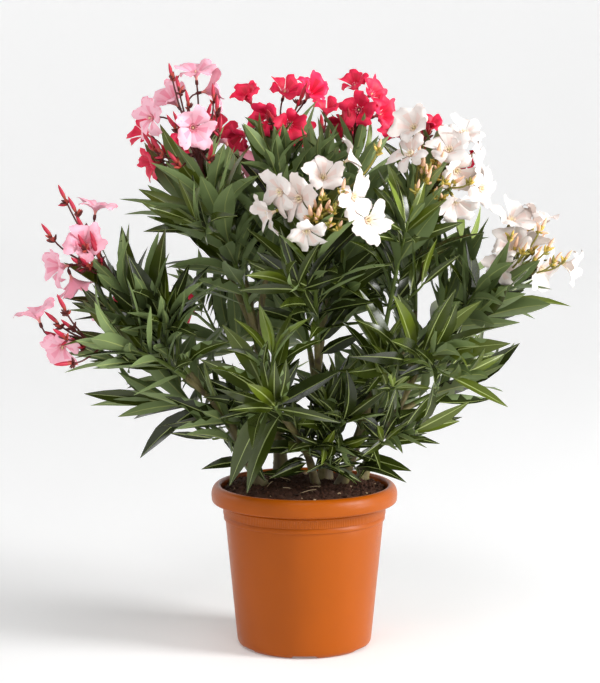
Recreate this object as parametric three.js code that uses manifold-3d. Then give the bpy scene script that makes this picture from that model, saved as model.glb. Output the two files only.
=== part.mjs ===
// Potted oleander: a clump of leaning stems in a round plastic nursery pot, with
// narrow leaves in whorls of three and open heads of pink, red and white blossom.
// Millimetres, +Z up, +X to the right. The origin is the centre of the pot's flat
// underside, and -Y is the front of the plant.

import * as THREE from "three";
import { mergeVertices } from "three/addons/utils/BufferGeometryUtils.js";
import Module from "manifold-3d";

const wasm = await Module();
wasm.setup();

// ---------------------------------------------------------------- driving sizes

const GAP = 0.3; // clearance between neighbouring solids
const TURN_SEGMENTS = 28; // facets round the pot and the soil

const POT = {
  height: 184,
  rimRadius: 105, // outside of the rolled rim
  lipRadius: 94.3, // inner edge of the rolled rim
  rollHeight: 20,
  collarRadius: 91.8,
  collarBottom: 146,
  step: 3.2, // how far the body stands in from the collar
  baseRadius: 74.8,
  cornerRadius: 8,
  wall: 2.2,
  floor: 6,
};
const DRAIN = { channels: 6, width: 25, depth: 3.5, slope: 3, inner: 26, hole: 5, ring: 47 };
const SOIL = { edge: 175, top: 181, plateau: 74 };

const STEM_SIDES = 7;
const STEM_STEPS = 5;
const BOUGH_SIDES = 4;
const BOUGH_STEPS = 3;
const TWIG_SIDES = 3;
const AXIS_STEPS = 5;
const FLARE = { radius: 1.9, height: 9 }; // swelling of a stem at the soil
const BEND = 0.36; // share of a limb's span that its end headings hold
const TIP_RADIUS = 1.7; // a shoot's axis where its leaves end
const STALK_RADIUS = 1.1;

const LEAF = {
  width: 0.215, // of its length
  thickness: 0.018, // of its length
  widest: 0.48, // where along its length it is widest
  openOld: 82, // degrees from the axis in the lowest whorl
  openYoung: 30, // and in the highest whorl
  lift: 0.18, // how much a leaf turns up towards the light
  outward: 1.1, // how much its face turns away from the middle of the clump
  free: 13, // past this length a leaf touches nothing
  turns: [[0, 0], [14, 0], [-14, 0], [0, -12], [0, 14], [26, -8], [-26, -8]], // ways it tries
};
const WHORL = {
  leaves: 3,
  turn: 60, // degrees from one whorl to the next
  stray: 0.5, // radians that a leaf's azimuth strays within
  openStray: 22, // degrees that its opening strays within
  shortest: 0.82, // of the shoot's leaf size, at the ends of the shoot
  swell: 0.3, // more of it in between
  strayLength: [0.86, 0.24],
  sunk: 0.9, // how deep a leaf's root lies in the axis
};
const TWIG = {
  from: 0.15, // the lowest place on the mass's axis where a side twig leaves
  span: 0.45,
  open: 50, // degrees from the axis
  reach: [0.5, 0.3], // of the shoot's leaf size, and the part of it that is left to chance
  radii: [1.9, 1.2],
  leafy: [0.35, 0.98], // its leafy stretch
  whorls: 2,
  leaf: 0.72, // of the shoot's leaf size
  droop: 0.08,
};
const FLOWER = {
  radius: 22,
  radiusStray: 4,
  tube: 17, // from the petals down to the stalk
  notch: 0.45, // of its radius, between two petals
  petal: 22, // half of a petal's width, in degrees
  dish: 0.04, // of its radius
  spread: 0.55, // how much it faces away from the middle of its head
  stray: 0.5,
  sunk: 2.5, // how deep its stalk's root lies in the head's axis
  fits: [[1, 0], [0.95, 7], [0.95, -7], [0.88, 12], [0.84, -10], [0.8, 0]], // size and push it tries
};
const BUD = { radius: 3.4, widest: 0.72, shortest: 26, spread: 14, open: 38, openStray: 24, sunk: 1 };
const LEAVING = { thinner: 0.72, towards: 1.2 }; // a shoot's foot against its stem: radius, heading
const TAPER = 0.7; // below 1, a shoot thins early and then stays thin
const DROOP = 0.1; // of its length, the sag of a leaf's tip

const COLOURS = { pot: 0xc46224, soil: 0x2d1c16, bark: 0x6f6238, leaf: 0x3f5a22 };

// ------------------------------------------------------------------- the plant

// Stems from the soil to their fork: foot on the soil, fork, headings, radii.
const STEMS = [
  { name: "left", foot: [-48, -2], lean: [-0.55, -0.1, 1], fork: [-102, -20, 282],
    heading: [-0.62, -0.12, 0.77], radii: [6.6, 4.8] },
  { name: "back_left", foot: [-28, 45], lean: [0.08, 0, 1], fork: [-52, 25, 338],
    heading: [-0.15, -0.1, 1], radii: [8.2, 6] },
  { name: "young", foot: [13, 3], lean: [-0.2, -0.35, 1], fork: [-22, -64, 268],
    heading: [-0.55, -0.4, 0.75], radii: [4.6, 3.4] },
  { name: "centre", foot: [24, 30], lean: [0.02, 0, 1], fork: [15, 5, 307],
    heading: [0, -0.12, 1], radii: [7.8, 5.8] },
  { name: "right", foot: [41, 0], lean: [0.4, -0.1, 1], fork: [76, -20, 298],
    heading: [0.25, -0.05, 1], radii: [6.2, 4.8] },
  { name: "back_right", foot: [66, 40], lean: [0.35, 0.05, 1], fork: [110, 50, 265],
    heading: [0.6, 0.1, 0.8], radii: [6, 4.8] },
];

// Shoots, each a bare bough and then a leafy mass. `from` is a stem and `at` the
// place along it where the shoot leaves (its fork, unless given). `bare` is the
// share of the shoot that the bough takes, and with none the mass leaves the stem
// itself. A head of blossom has the way it looks, its number of buds, and each
// flower's place across, back and up from the shoot's tip.
const SHOOTS = [
  { name: "pink_upper_left", from: "left", tip: [-202, -40, 411], heading: [-0.6, -0.05, 0.8],
    bare: 0.22, whorls: 9, leaf: 90, twigs: 1, seed: 11,
    blossom: { look: [-0.5, -0.75, 0.3], buds: 4,
      heads: [[-26, 10, 91], [-37, -15, 49], [-66, -20, 23], [-50, -4, 2]] } },
  { name: "pink_lower_left", from: "left", tip: [-204, -92, 350], heading: [-0.95, -0.2, 0.15],
    bare: 0.3, whorls: 5, leaf: 86, twigs: 0, seed: 12,
    blossom: { look: [-0.5, -0.8, 0.1], buds: 3, heads: [[-84, -8, 40], [-56, -13, -1]] } },
  { name: "pink_small_left", from: "left", tip: [-182, 70, 335], heading: [-0.8, 0.25, 0.5],
    bare: 0.35, whorls: 4, leaf: 88, twigs: 0, seed: 13,
    blossom: { look: [-0.3, -0.6, 0.5], buds: 2, heads: [[-43, -10, 33], [-30, 24, 48]] } },
  { name: "leafy_low_left", from: "left", at: 0.72, tip: [-165, 30, 270], heading: [-0.95, 0.3, -0.1],
    bare: 0.3, whorls: 5, leaf: 92, twigs: 1, seed: 14 },
  { name: "pink_top_left", from: "back_left", tip: [-108, -10, 522], heading: [-0.35, -0.05, 0.95],
    bare: 0.18, whorls: 10, leaf: 104, twigs: 1, seed: 15,
    blossom: { look: [-0.1, -0.85, 0.45], buds: 4,
      heads: [[-12, 5, 126], [-12, -25, 62], [-66, 10, 72], [6, 18, 103], [-47, 22, 88]] } },
  { name: "red_left", from: "back_left", tip: [-140, 80, 505], heading: [-0.5, 0.2, 0.85],
    bare: 0.42, whorls: 4, leaf: 92, twigs: 0, seed: 16,
    blossom: { look: [-0.4, -0.6, 0.4], buds: 3,
      heads: [[-46, -4, 72], [-36, -12, 34], [2, -22, 58], [44, -16, 78]] } },
  { name: "red_top", from: "back_left", tip: [-20, 35, 552], heading: [0.02, 0, 1],
    bare: 0.36, whorls: 5, leaf: 94, twigs: 0, seed: 17,
    blossom: { look: [-0.05, -0.85, 0.4], buds: 2,
      heads: [[-44, 4, 66], [-22, -8, 42], [-1, 12, 74], [27, -4, 70], [-52, 14, 20], [4, -16, 34]] } },
  { name: "back_left_high", from: "back_left", tip: [-95, 165, 500], heading: [-0.25, 0.55, 0.8],
    bare: 0.36, whorls: 5, leaf: 96, twigs: 0, seed: 18,
    blossom: { look: [-0.3, 0.8, 0.5], buds: 3,
      heads: [[-30, 30, 40], [-2, 16, 68], [18, 36, 34]] } },
  { name: "back_left_low", from: "back_left", at: 0.6, tip: [-128, 178, 355], heading: [-0.6, 0.65, 0.45],
    bare: 0.4, whorls: 4, leaf: 96, twigs: 0, seed: 19,
    blossom: { look: [-0.5, 0.8, 0.3], buds: 2, heads: [[-34, 28, 30], [-8, 40, 46]] } },
  { name: "front_young", from: "young", tip: [-46, -98, 308], heading: [-0.4, -0.35, 0.8],
    bare: 0, whorls: 4, leaf: 98, twigs: 0, seed: 20, droop: 0.22 },
  { name: "low_front_left", from: "back_left", at: 0.42, tip: [-92, -34, 262], heading: [-0.7, -0.5, 0.4],
    bare: 0, whorls: 5, leaf: 84, twigs: 0, seed: 41 },
  { name: "low_front", from: "centre", at: 0.5, tip: [44, -58, 264], heading: [0.25, -0.7, 0.5],
    bare: 0, whorls: 4, leaf: 76, twigs: 0, seed: 42 },
  { name: "low_front_right", from: "right", at: 0.5, tip: [124, -52, 252], heading: [0.8, -0.5, 0.3],
    bare: 0, whorls: 4, leaf: 82, twigs: 0, seed: 43 },
  { name: "low_back", from: "back_right", at: 0.5, tip: [52, 132, 268], heading: [-0.1, 0.8, 0.5],
    bare: 0, whorls: 4, leaf: 84, twigs: 0, seed: 44 },
  { name: "young_side", from: "young", at: 0.45, tip: [36, -34, 236], heading: [0.5, -0.3, 0.8],
    bare: 0, whorls: 3, leaf: 58, twigs: 0, seed: 21 },
  { name: "white_front", from: "centre", tip: [12, -92, 470], heading: [0.02, -0.3, 0.95],
    bare: 0.2, whorls: 7, leaf: 98, twigs: 1, seed: 22,
    blossom: { look: [0, -0.95, 0.2], buds: 4,
      heads: [[-21, -28, 42], [-10, -40, 6], [-54, -22, 26], [7, -14, 64], [44, -6, 92],
        [28, -30, 40], [52, -24, 12], [-40, -28, 52]] } },
  { name: "red_top_right", from: "centre", tip: [52, 45, 540], heading: [0.12, 0.05, 1],
    bare: 0.34, whorls: 5, leaf: 94, twigs: 0, seed: 23,
    blossom: { look: [0.1, -0.85, 0.4], buds: 3,
      heads: [[4, 4, 92], [26, -4, 82], [8, -16, 62], [36, 8, 58], [-8, 6, 44]] } },
  { name: "back_centre_high", from: "centre", tip: [22, 150, 520], heading: [0.05, 0.35, 0.95],
    bare: 0.36, whorls: 5, leaf: 96, twigs: 1, seed: 24,
    blossom: { look: [0, 0.8, 0.6], buds: 3,
      heads: [[-24, 22, 52], [4, 4, 82], [28, 24, 56]] } },
  { name: "back_centre_low", from: "centre", at: 0.62, tip: [-8, 196, 390], heading: [-0.1, 0.85, 0.5],
    bare: 0.36, whorls: 5, leaf: 96, twigs: 0, seed: 25,
    blossom: { look: [0, 1, 0.3], buds: 2, heads: [[-22, 36, 18], [16, 32, 34]] } },
  { name: "white_top_right", from: "right", tip: [116, -30, 496], heading: [0.22, -0.05, 0.95],
    bare: 0.26, whorls: 7, leaf: 98, twigs: 1, seed: 26,
    blossom: { look: [0.35, -0.85, 0.3], buds: 4,
      heads: [[2, 5, 90], [-4, -16, 64], [41, -6, 64], [40, -12, 36], [60, 10, 86], [76, 6, 58],
        [82, 0, 20], [46, -20, 10]] } },
  { name: "white_far_right", from: "right", tip: [209, -15, 404], heading: [0.75, 0.05, 0.6],
    bare: 0.28, whorls: 7, leaf: 90, twigs: 1, seed: 27,
    blossom: { look: [0.55, -0.65, 0.45], buds: 4,
      heads: [[22, 10, 82], [51, 16, 80], [20, -6, 46], [4, -18, 22], [42, 6, 34], [88, 14, 24],
        [56, -8, 8]] } },
  { name: "rosette_right", from: "right", tip: [138, -138, 352], heading: [0.35, -0.8, 0.4],
    bare: 0.36, whorls: 5, leaf: 90, twigs: 1, seed: 28 },
  { name: "young_right", from: "right", at: 0.8, tip: [86, -66, 340], heading: [0.1, -0.2, 0.95],
    bare: 0.3, whorls: 4, leaf: 66, twigs: 0, seed: 29 },
  { name: "leafy_low_right", from: "back_right", at: 0.8, tip: [193, 50, 290], heading: [0.95, 0.05, 0.12],
    bare: 0.3, whorls: 5, leaf: 92, twigs: 1, seed: 30 },
  { name: "leafy_mid_right", from: "back_right", tip: [176, 66, 430], heading: [0.3, 0.05, 0.95],
    bare: 0.3, whorls: 6, leaf: 94, twigs: 1, seed: 31 },
  { name: "red_right", from: "back_right", tip: [131, 92, 522], heading: [0.12, 0.12, 1],
    bare: 0.4, whorls: 5, leaf: 92, twigs: 0, seed: 32,
    blossom: { look: [0.2, -0.6, 0.5], buds: 3, heads: [[-25, -5, 54], [50, 2, 22], [12, 6, 60]] } },
  { name: "back_right_high", from: "back_right", tip: [118, 184, 440], heading: [0.15, 0.65, 0.75],
    bare: 0.38, whorls: 5, leaf: 96, twigs: 0, seed: 33,
    blossom: { look: [0.3, 0.8, 0.5], buds: 3, heads: [[-18, 24, 46], [14, 8, 66], [24, 34, 28]] } },
  { name: "back_right_low", from: "back_right", at: 0.66, tip: [150, 168, 318], heading: [0.55, 0.8, 0.25],
    bare: 0.36, whorls: 5, leaf: 94, twigs: 0, seed: 34 },
];

// -------------------------------------------------------------------- helpers

const UP = new THREE.Vector3(0, 0, 1);
const vec = (list) => new THREE.Vector3(...list);
const unit = (list) => vec(list).normalize();
const mix = (a, b, share) => a + (b - a) * share;
const radians = THREE.MathUtils.degToRad;

// A repeatable stream of numbers from 0 to 1 (the mulberry32 rule).
function seeded(seed) {
  let state = seed >>> 0;
  return () => {
    state = (state + 0x6d2b79f5) >>> 0;
    let t = state;
    t = Math.imul(t ^ (t >>> 15), t | 1);
    t ^= t + Math.imul(t ^ (t >>> 7), t | 61);
    return ((t ^ (t >>> 14)) >>> 0) / 4294967296;
  };
}

// Two directions square to `along`, and to each other.
function crossAxes(along) {
  const helper = Math.abs(along.z) < 0.9 ? UP : new THREE.Vector3(1, 0, 0);
  const first = new THREE.Vector3().crossVectors(helper, along).normalize();
  return [first, new THREE.Vector3().crossVectors(along, first)];
}

// `along` opened by an angle towards one azimuth round it.
function opened(along, azimuth, angle) {
  const [u, v] = crossAxes(along);
  return along
    .clone()
    .multiplyScalar(Math.cos(angle))
    .addScaledVector(u, Math.sin(angle) * Math.cos(azimuth))
    .addScaledVector(v, Math.sin(angle) * Math.sin(azimuth));
}

function indexedGeometry(points, faces) {
  const geometry = new THREE.BufferGeometry();
  geometry.setAttribute("position", new THREE.Float32BufferAttribute(points.flatMap((p) => [...p]), 3));
  geometry.setIndex(faces.flat());
  return geometry;
}

// A closed geometry as a solid that can be joined and cut, turned outside out.
function toSolid(geometry) {
  const bare = new THREE.BufferGeometry();
  bare.setAttribute("position", geometry.getAttribute("position"));
  bare.setIndex(geometry.getIndex());
  const merged = mergeVertices(bare, 1e-4);
  const triVerts = new Uint32Array(merged.index.array);
  const vertProperties = merged.attributes.position.array;
  const solid = new wasm.Manifold(new wasm.Mesh({ numProp: 3, vertProperties, triVerts }));
  if (solid.volume() > 0) return solid;
  return new wasm.Manifold(new wasm.Mesh({ numProp: 3, vertProperties, triVerts: triVerts.reverse() }));
}

function toGeometry(solid) {
  const mesh = solid.getMesh();
  const geometry = new THREE.BufferGeometry();
  geometry.setAttribute("position", new THREE.BufferAttribute(mesh.vertProperties, 3));
  geometry.setIndex(new THREE.BufferAttribute(mesh.triVerts, 1));
  geometry.computeVertexNormals();
  return geometry;
}

// The largest body of a solid, so that no loose scrap is left.
function largest(solid) {
  return solid.decompose().reduce((best, body) => (body.volume() > best.volume() ? body : best));
}

// A profile of radii and heights turned round the pot's axis.
function turned(profile) {
  const points = profile.map(([radius, z]) => new THREE.Vector2(radius, z));
  return new THREE.LatheGeometry(points, TURN_SEGMENTS).rotateX(Math.PI / 2);
}

// ---------------------------------------------------------------- pot and soil

// Radius of the pot's outside below the collar, at a height.
function bodyRadius(z) {
  const top = POT.collarRadius - POT.step;
  return mix(POT.baseRadius, top, z / POT.collarBottom);
}

function potSolid() {
  const { height, rimRadius, lipRadius, rollHeight, collarRadius, collarBottom } = POT;
  const underRoll = height - rollHeight;
  const corner = [];
  for (let step = 0; step <= 2; step += 1) {
    const angle = (step / 2) * (Math.PI / 2);
    corner.push([
      bodyRadius(0) - POT.cornerRadius * (1 - Math.sin(angle)),
      POT.cornerRadius * (1 - Math.cos(angle)),
    ]);
  }
  const profile = [
    [0, 0],
    ...corner,
    [bodyRadius(collarBottom - POT.step), collarBottom - POT.step],
    [collarRadius, collarBottom],
    [collarRadius + 0.6, underRoll],
    [rimRadius - 1, underRoll],
    [rimRadius, height - 10],
    [rimRadius - 2.4, height - 2.6],
    [rimRadius - 6, height],
    [lipRadius + 2, height],
    [lipRadius, height - 3],
    [collarRadius - POT.wall, underRoll - 2],
    [bodyRadius(collarBottom) - POT.wall, collarBottom],
    [bodyRadius(POT.floor) - POT.wall, POT.floor],
    [0, POT.floor],
  ];
  let pot = toSolid(turned(profile));
  for (let i = 0; i < DRAIN.channels; i += 1) {
    const angle = (i / DRAIN.channels) * 2 * Math.PI - Math.PI / 2;
    pot = pot.subtract(toSolid(channelGeometry(angle))).subtract(toSolid(drainGeometry(angle)));
  }
  return largest(pot);
}

// A shallow channel with slanted sides, from near the middle out past the corner.
function channelGeometry(angle) {
  const half = DRAIN.width / 2;
  const section = new THREE.Shape([
    new THREE.Vector2(-half - DRAIN.slope, -1),
    new THREE.Vector2(half + DRAIN.slope, -1),
    new THREE.Vector2(half - DRAIN.slope, DRAIN.depth),
    new THREE.Vector2(-half + DRAIN.slope, DRAIN.depth),
  ]);
  const length = POT.baseRadius + 10 - DRAIN.inner;
  return new THREE.ExtrudeGeometry(section, { depth: length, bevelEnabled: false })
    .rotateX(Math.PI / 2)
    .rotateZ(Math.PI)
    .translate(0, DRAIN.inner, 0)
    .rotateZ(angle - Math.PI / 2);
}

function drainGeometry(angle) {
  return new THREE.CylinderGeometry(DRAIN.hole, DRAIN.hole, POT.floor * 3, 10)
    .rotateX(Math.PI / 2)
    .translate(DRAIN.ring * Math.cos(angle), DRAIN.ring * Math.sin(angle), POT.floor);
}

// The soil fills the pot up to a low mound that carries the stems.
function soilSolid() {
  const inside = (z) => bodyRadius(z) - POT.wall - GAP;
  const bottom = POT.floor + GAP;
  return toSolid(
    turned([
      [0, bottom],
      [inside(bottom), bottom],
      [inside(POT.collarBottom), POT.collarBottom],
      [inside(POT.collarBottom), SOIL.edge],
      [SOIL.plateau, SOIL.top],
      [0, SOIL.top],
    ]),
  );
}

// ----------------------------------------------------------------------- limbs

// A cubic curve from one place and heading to another.
function bentCurve(from, heading, to, arrival) {
  const reach = from.distanceTo(to) * BEND;
  return new THREE.CubicBezierCurve3(
    from,
    from.clone().addScaledVector(heading, reach),
    to.clone().addScaledVector(arrival, -reach),
    to,
  );
}

// Stations along part of a curve: a place, a direction and a radius, which takes
// the share along the stretch.
function stations(curve, [start, end], radius, steps) {
  return Array.from({ length: steps + 1 }, (_, i) => {
    const t = mix(start, end, i / steps);
    return { centre: curve.getPoint(t), along: curve.getTangent(t), radius: radius(i / steps) };
  });
}

// A tapering tube through stations, with flat ends. `grow` makes it fatter and
// longer all round. With `level`, its foot is cut flat at its first station's height.
function tubeGeometry(route, sides, { grow = 0, level = false } = {}) {
  const last = route.length - 1;
  const points = [];
  const faces = [];
  let [across] = crossAxes(route[0].along);
  route.forEach(({ centre, along, radius }, i) => {
    const middle = centre.clone();
    if (i === 0) middle.addScaledVector(along, -grow);
    if (i === last) middle.addScaledVector(along, grow);
    across = across.clone().addScaledVector(along, -across.dot(along)).normalize();
    const second = new THREE.Vector3().crossVectors(along, across);
    for (let k = 0; k < sides; k += 1) {
      const angle = (k / sides) * 2 * Math.PI;
      const point = middle
        .clone()
        .addScaledVector(across, (radius + grow) * Math.cos(angle))
        .addScaledVector(second, (radius + grow) * Math.sin(angle));
      if (level && i === 0) point.addScaledVector(along, (middle.z - point.z) / along.z);
      points.push(point);
    }
  });
  for (let i = 0; i < last; i += 1) {
    for (let k = 0; k < sides; k += 1) {
      const next = (k + 1) % sides;
      const [low, high] = [i * sides, (i + 1) * sides];
      faces.push([low + k, low + next, high + next], [low + k, high + next, high + k]);
    }
  }
  for (let k = 1; k < sides - 1; k += 1) {
    const top = last * sides;
    faces.push([0, k + 1, k], [top, top + k, top + k + 1]);
  }
  return indexedGeometry(points, faces);
}

// Every solid placed so far, with its box, so that what grows later can keep clear.
const placed = [];

function boxOf(solid) {
  const { min, max } = solid.boundingBox();
  return new THREE.Box3(vec(min), vec(max));
}

function place(solid, owner) {
  placed.push({ solid, owner, box: boxOf(solid) });
}

// Whether a solid touches anything that belongs to others.
function touches(solid, owners) {
  const box = boxOf(solid);
  return placed.some(
    (other) =>
      !owners.includes(other.owner) &&
      box.intersectsBox(other.box) &&
      !solid.intersect(other.solid).isEmpty(),
  );
}

function growStems() {
  const stems = new Map();
  for (const stem of STEMS) {
    const foot = new THREE.Vector3(...stem.foot, SOIL.top + GAP);
    const curve = bentCurve(foot, unit(stem.lean), vec(stem.fork), unit(stem.heading));
    const length = curve.getLength();
    const radius = (share) =>
      mix(stem.radii[0], stem.radii[1], share) + FLARE.radius * Math.exp((-share * length) / FLARE.height);
    const route = stations(curve, [0, 1], radius, STEM_STEPS);
    const make = (grow) => toSolid(tubeGeometry(route, STEM_SIDES, { grow, level: grow === 0 }));
    const solid = make(0);
    place(solid, stem.name);
    stems.set(stem.name, { curve, radius, solid, sleeve: make(GAP) });
  }
  return stems;
}

// A shoot's whole curve, and the place along it where its leafy mass starts.
function shootCurve(shoot, stems) {
  const stem = stems.get(shoot.from);
  const at = shoot.at ?? 1;
  const from = stem.curve.getPoint(at);
  const tip = vec(shoot.tip);
  const towards = tip.clone().sub(from).normalize();
  const leave = stem.curve.getTangent(at).addScaledVector(towards, LEAVING.towards).normalize();
  const curve = bentCurve(from, leave, tip, unit(shoot.heading));
  return { stem, curve, baseRadius: stem.radius(at) * LEAVING.thinner };
}

// Boughs, each trimmed clear of its stem and of the boughs that leave beside it.
function growBoughs(stems) {
  const shoots = [];
  for (const shoot of SHOOTS) {
    const { stem, curve, baseRadius } = shootCurve(shoot, stems);
    const radiusAt = (t) => mix(baseRadius, TIP_RADIUS, t ** TAPER);
    const grown = { ...shoot, stem, curve, radiusAt, bough: null };
    shoots.push(grown);
    if (shoot.bare === 0) continue;
    const radius = (share) => radiusAt(share * shoot.bare);
    const route = stations(curve, [0, shoot.bare], radius, BOUGH_STEPS);
    const make = (grow) => toSolid(tubeGeometry(route, BOUGH_SIDES, { grow }));
    let solid = make(0).subtract(stem.sleeve);
    for (const other of shoots) {
      if (other.sleeve) solid = solid.subtract(other.sleeve);
    }
    grown.bough = largest(solid);
    grown.sleeve = make(GAP);
    place(grown.bough, shoot.name + "_bough");
  }
  return shoots;
}

// ------------------------------------------------------- leaves, flowers, buds

// A leaf of six faces: root, tip, both edges and its crown at the widest place,
// over a nearly flat underside. It sags along a parabola.
function leafGeometry({ root, along, face, length, droop }, grow = 0, from = 0) {
  const side = new THREE.Vector3().crossVectors(along, face).normalize();
  const over = new THREE.Vector3().crossVectors(side, along);
  const at = (share) =>
    root
      .clone()
      .addScaledVector(along, share * length)
      .addScaledVector(UP, -droop * length * share ** 2);
  const half = (length * LEAF.width) / 2 + grow;
  const middle = at(LEAF.widest);
  const points = [
    at(from).addScaledVector(along, -grow),
    at(1).addScaledVector(along, grow),
    middle.clone().addScaledVector(side, half),
    middle.clone().addScaledVector(side, -half),
    middle.clone().addScaledVector(over, length * LEAF.thickness + grow),
  ];
  return indexedGeometry(points, [[0, 4, 2], [0, 3, 4], [1, 2, 4], [1, 4, 3], [0, 2, 3], [1, 3, 2]]);
}

// An open flower on its stalk: five broad petals round a shallow middle, then a
// funnel down to the neck and a stalk that thins to its sunk root.
function flowerGeometry({ root, centre, look, radius, phase }) {
  const [u, v] = crossAxes(look);
  const at = (turn, reach, lift) =>
    centre
      .clone()
      .addScaledVector(u, reach * Math.cos(turn))
      .addScaledVector(v, reach * Math.sin(turn))
      .addScaledVector(look, lift);
  const neck = [0, 1, 2].map((k) => at(phase + radians(36 + 120 * k), STALK_RADIUS, -FLOWER.tube));
  const points = [root, at(0, 0, -radius * FLOWER.dish), ...neck];
  const faces = [[0, 3, 2], [0, 4, 3], [0, 2, 4]];
  const first = points.length;
  const funnel = [4, 2, 2, 3, 3]; // the neck point that each notch runs down to
  for (let petal = 0; petal < 5; petal += 1) {
    const middle = phase + petal * radians(72);
    points.push(
      at(middle - radians(36), radius * FLOWER.notch, -radius * 0.12),
      at(middle - radians(FLOWER.petal), radius, 0),
      at(middle + radians(FLOWER.petal), radius * 0.93, -radius * 0.04),
    );
    const [notch, left, right] = [0, 1, 2].map((k) => first + petal * 3 + k);
    const next = first + ((petal + 1) % 5) * 3;
    faces.push([1, notch, left], [1, left, right], [1, right, next]);
    faces.push([notch, right, left], [notch, next, right]);
    const [here, there] = [funnel[petal], funnel[(petal + 1) % 5]];
    faces.push([here, next, notch]);
    if (here !== there) faces.push([here, there, next]);
  }
  return indexedGeometry(points, faces);
}

// A closed bud with its stalk: one slim three-sided spindle.
function budGeometry(root, along, length) {
  const [u, v] = crossAxes(along);
  const at = (share) => root.clone().addScaledVector(along, length * share);
  const points = [at(0), at(1)];
  for (let k = 0; k < 3; k += 1) {
    const turn = k * radians(120);
    points.push(
      at(BUD.widest)
        .addScaledVector(u, BUD.radius * Math.cos(turn))
        .addScaledVector(v, BUD.radius * Math.sin(turn)),
    );
  }
  return indexedGeometry(points, [[0, 3, 2], [0, 4, 3], [0, 2, 4], [1, 2, 3], [1, 3, 4], [1, 4, 2]]);
}

// ---------------------------------------------------------------------- masses

// Where each leaf of a stretch of axis sits, by the whorl rule: three to a whorl,
// each whorl turned by a sixth of a round, opening less and less towards the tip.
function whorledLeaves(curve, span, whorls, size, droop, random) {
  const leaves = [];
  let turn = random() * 2 * Math.PI;
  for (let i = 0; i < whorls; i += 1) {
    const share = (i + 0.5) / whorls;
    const t = mix(span[0], span[1], share);
    const point = curve.getPoint(t);
    const axis = curve.getTangent(t);
    const swell = Math.sin(Math.PI * Math.min(1, share * 0.8 + 0.15));
    const open = mix(LEAF.openOld, LEAF.openYoung, share ** 1.3);
    turn += radians(WHORL.turn) + (random() - 0.5) * WHORL.stray;
    for (let k = 0; k < WHORL.leaves; k += 1) {
      const azimuth = turn + (k / WHORL.leaves) * 2 * Math.PI + (random() - 0.5) * WHORL.stray;
      const angle = radians(open + (random() - 0.5) * WHORL.openStray);
      const stray = WHORL.strayLength[0] + WHORL.strayLength[1] * random();
      const length = size * (WHORL.shortest + WHORL.swell * swell) * stray;
      leaves.push({ point, axis, azimuth, angle, length, droop: droop * (0.5 + random()) });
    }
  }
  return leaves;
}

// A leaf's root, its direction and the way it faces, when it is turned a little
// round its axis and opened a little more than its rule says.
function setLeaf({ point, axis, azimuth, angle, length, droop }, [turn, open]) {
  const along = opened(axis, azimuth + radians(turn), angle + radians(open))
    .addScaledVector(UP, LEAF.lift)
    .normalize();
  const outward = new THREE.Vector3(point.x, point.y, 0).normalize();
  const face = axis.clone().addScaledVector(UP, 0.4).addScaledVector(outward, LEAF.outward);
  return { root: point.clone().addScaledVector(along, -WHORL.sunk), along, face, length, droop };
}

// The woody and flowering part of a mass: its axis, side twigs, stalks, flowers
// and buds. It returns their solids and the places of all its leaves.
function growFrame(shoot) {
  const random = seeded(shoot.seed);
  const { curve, bare } = shoot;
  const owners = [shoot.name];
  const parts = [];
  const leaves = [];
  const keep = (solid) => {
    parts.push(solid);
    place(solid, shoot.name);
  };
  const start = bare + (bare === 0 ? 0 : GAP / curve.getLength());
  const axisRadius = (share) => shoot.radiusAt(mix(start, 1, share));
  const rachis = shoot.blossom && rachisCurve(shoot);
  const route = stations(curve, [start, 1], axisRadius, AXIS_STEPS);
  if (rachis) {
    const radius = (share) => mix(TIP_RADIUS, STALK_RADIUS, share);
    route.push(...stations(rachis, [0, 1], radius, 2).slice(1));
  }
  const axis = toSolid(tubeGeometry(route, TWIG_SIDES)).subtract(shoot.stem.sleeve);
  keep(largest(axis));
  const droop = shoot.droop ?? DROOP;
  leaves.push(...whorledLeaves(curve, [start, 0.99], shoot.whorls, shoot.leaf, droop, random));

  for (let i = 0; i < shoot.twigs; i += 1) {
    const t = mix(start, 1, TWIG.from + TWIG.span * random());
    const from = curve.getPoint(t);
    const along = opened(curve.getTangent(t), random() * 2 * Math.PI, radians(TWIG.open));
    const reach = shoot.leaf * (TWIG.reach[0] + TWIG.reach[1] * random());
    const to = from.clone().addScaledVector(along, reach);
    const arrival = along.clone().addScaledVector(UP, 0.5).normalize();
    const twig = bentCurve(from, along, to, arrival);
    const size = shoot.leaf * TWIG.leaf;
    const draws = whorledLeaves(twig, TWIG.leafy, TWIG.whorls, size, TWIG.droop, random);
    const twigRoute = stations(twig, [0, 1], (share) => mix(...TWIG.radii, share), 2);
    const solid = toSolid(tubeGeometry(twigRoute, TWIG_SIDES));
    if (touches(solid, owners)) continue;
    keep(solid);
    leaves.push(...draws);
  }

  if (rachis) {
    for (const solid of blossomSolids(shoot, rachis, random)) keep(solid);
  }
  return { ...shoot, parts, leaves };
}

// The axis of a head of blossom: from the leafy tip halfway to the flowers' middle.
function rachisCurve(shoot) {
  const tip = vec(shoot.tip);
  const centre = headCentre(shoot);
  return bentCurve(
    tip,
    unit(shoot.heading),
    tip.clone().addScaledVector(centre, 0.5),
    centre.clone().normalize(),
  );
}

function headCentre({ blossom: { heads } }) {
  return heads
    .reduce((sum, head) => sum.add(vec(head)), new THREE.Vector3())
    .divideScalar(heads.length);
}

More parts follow.
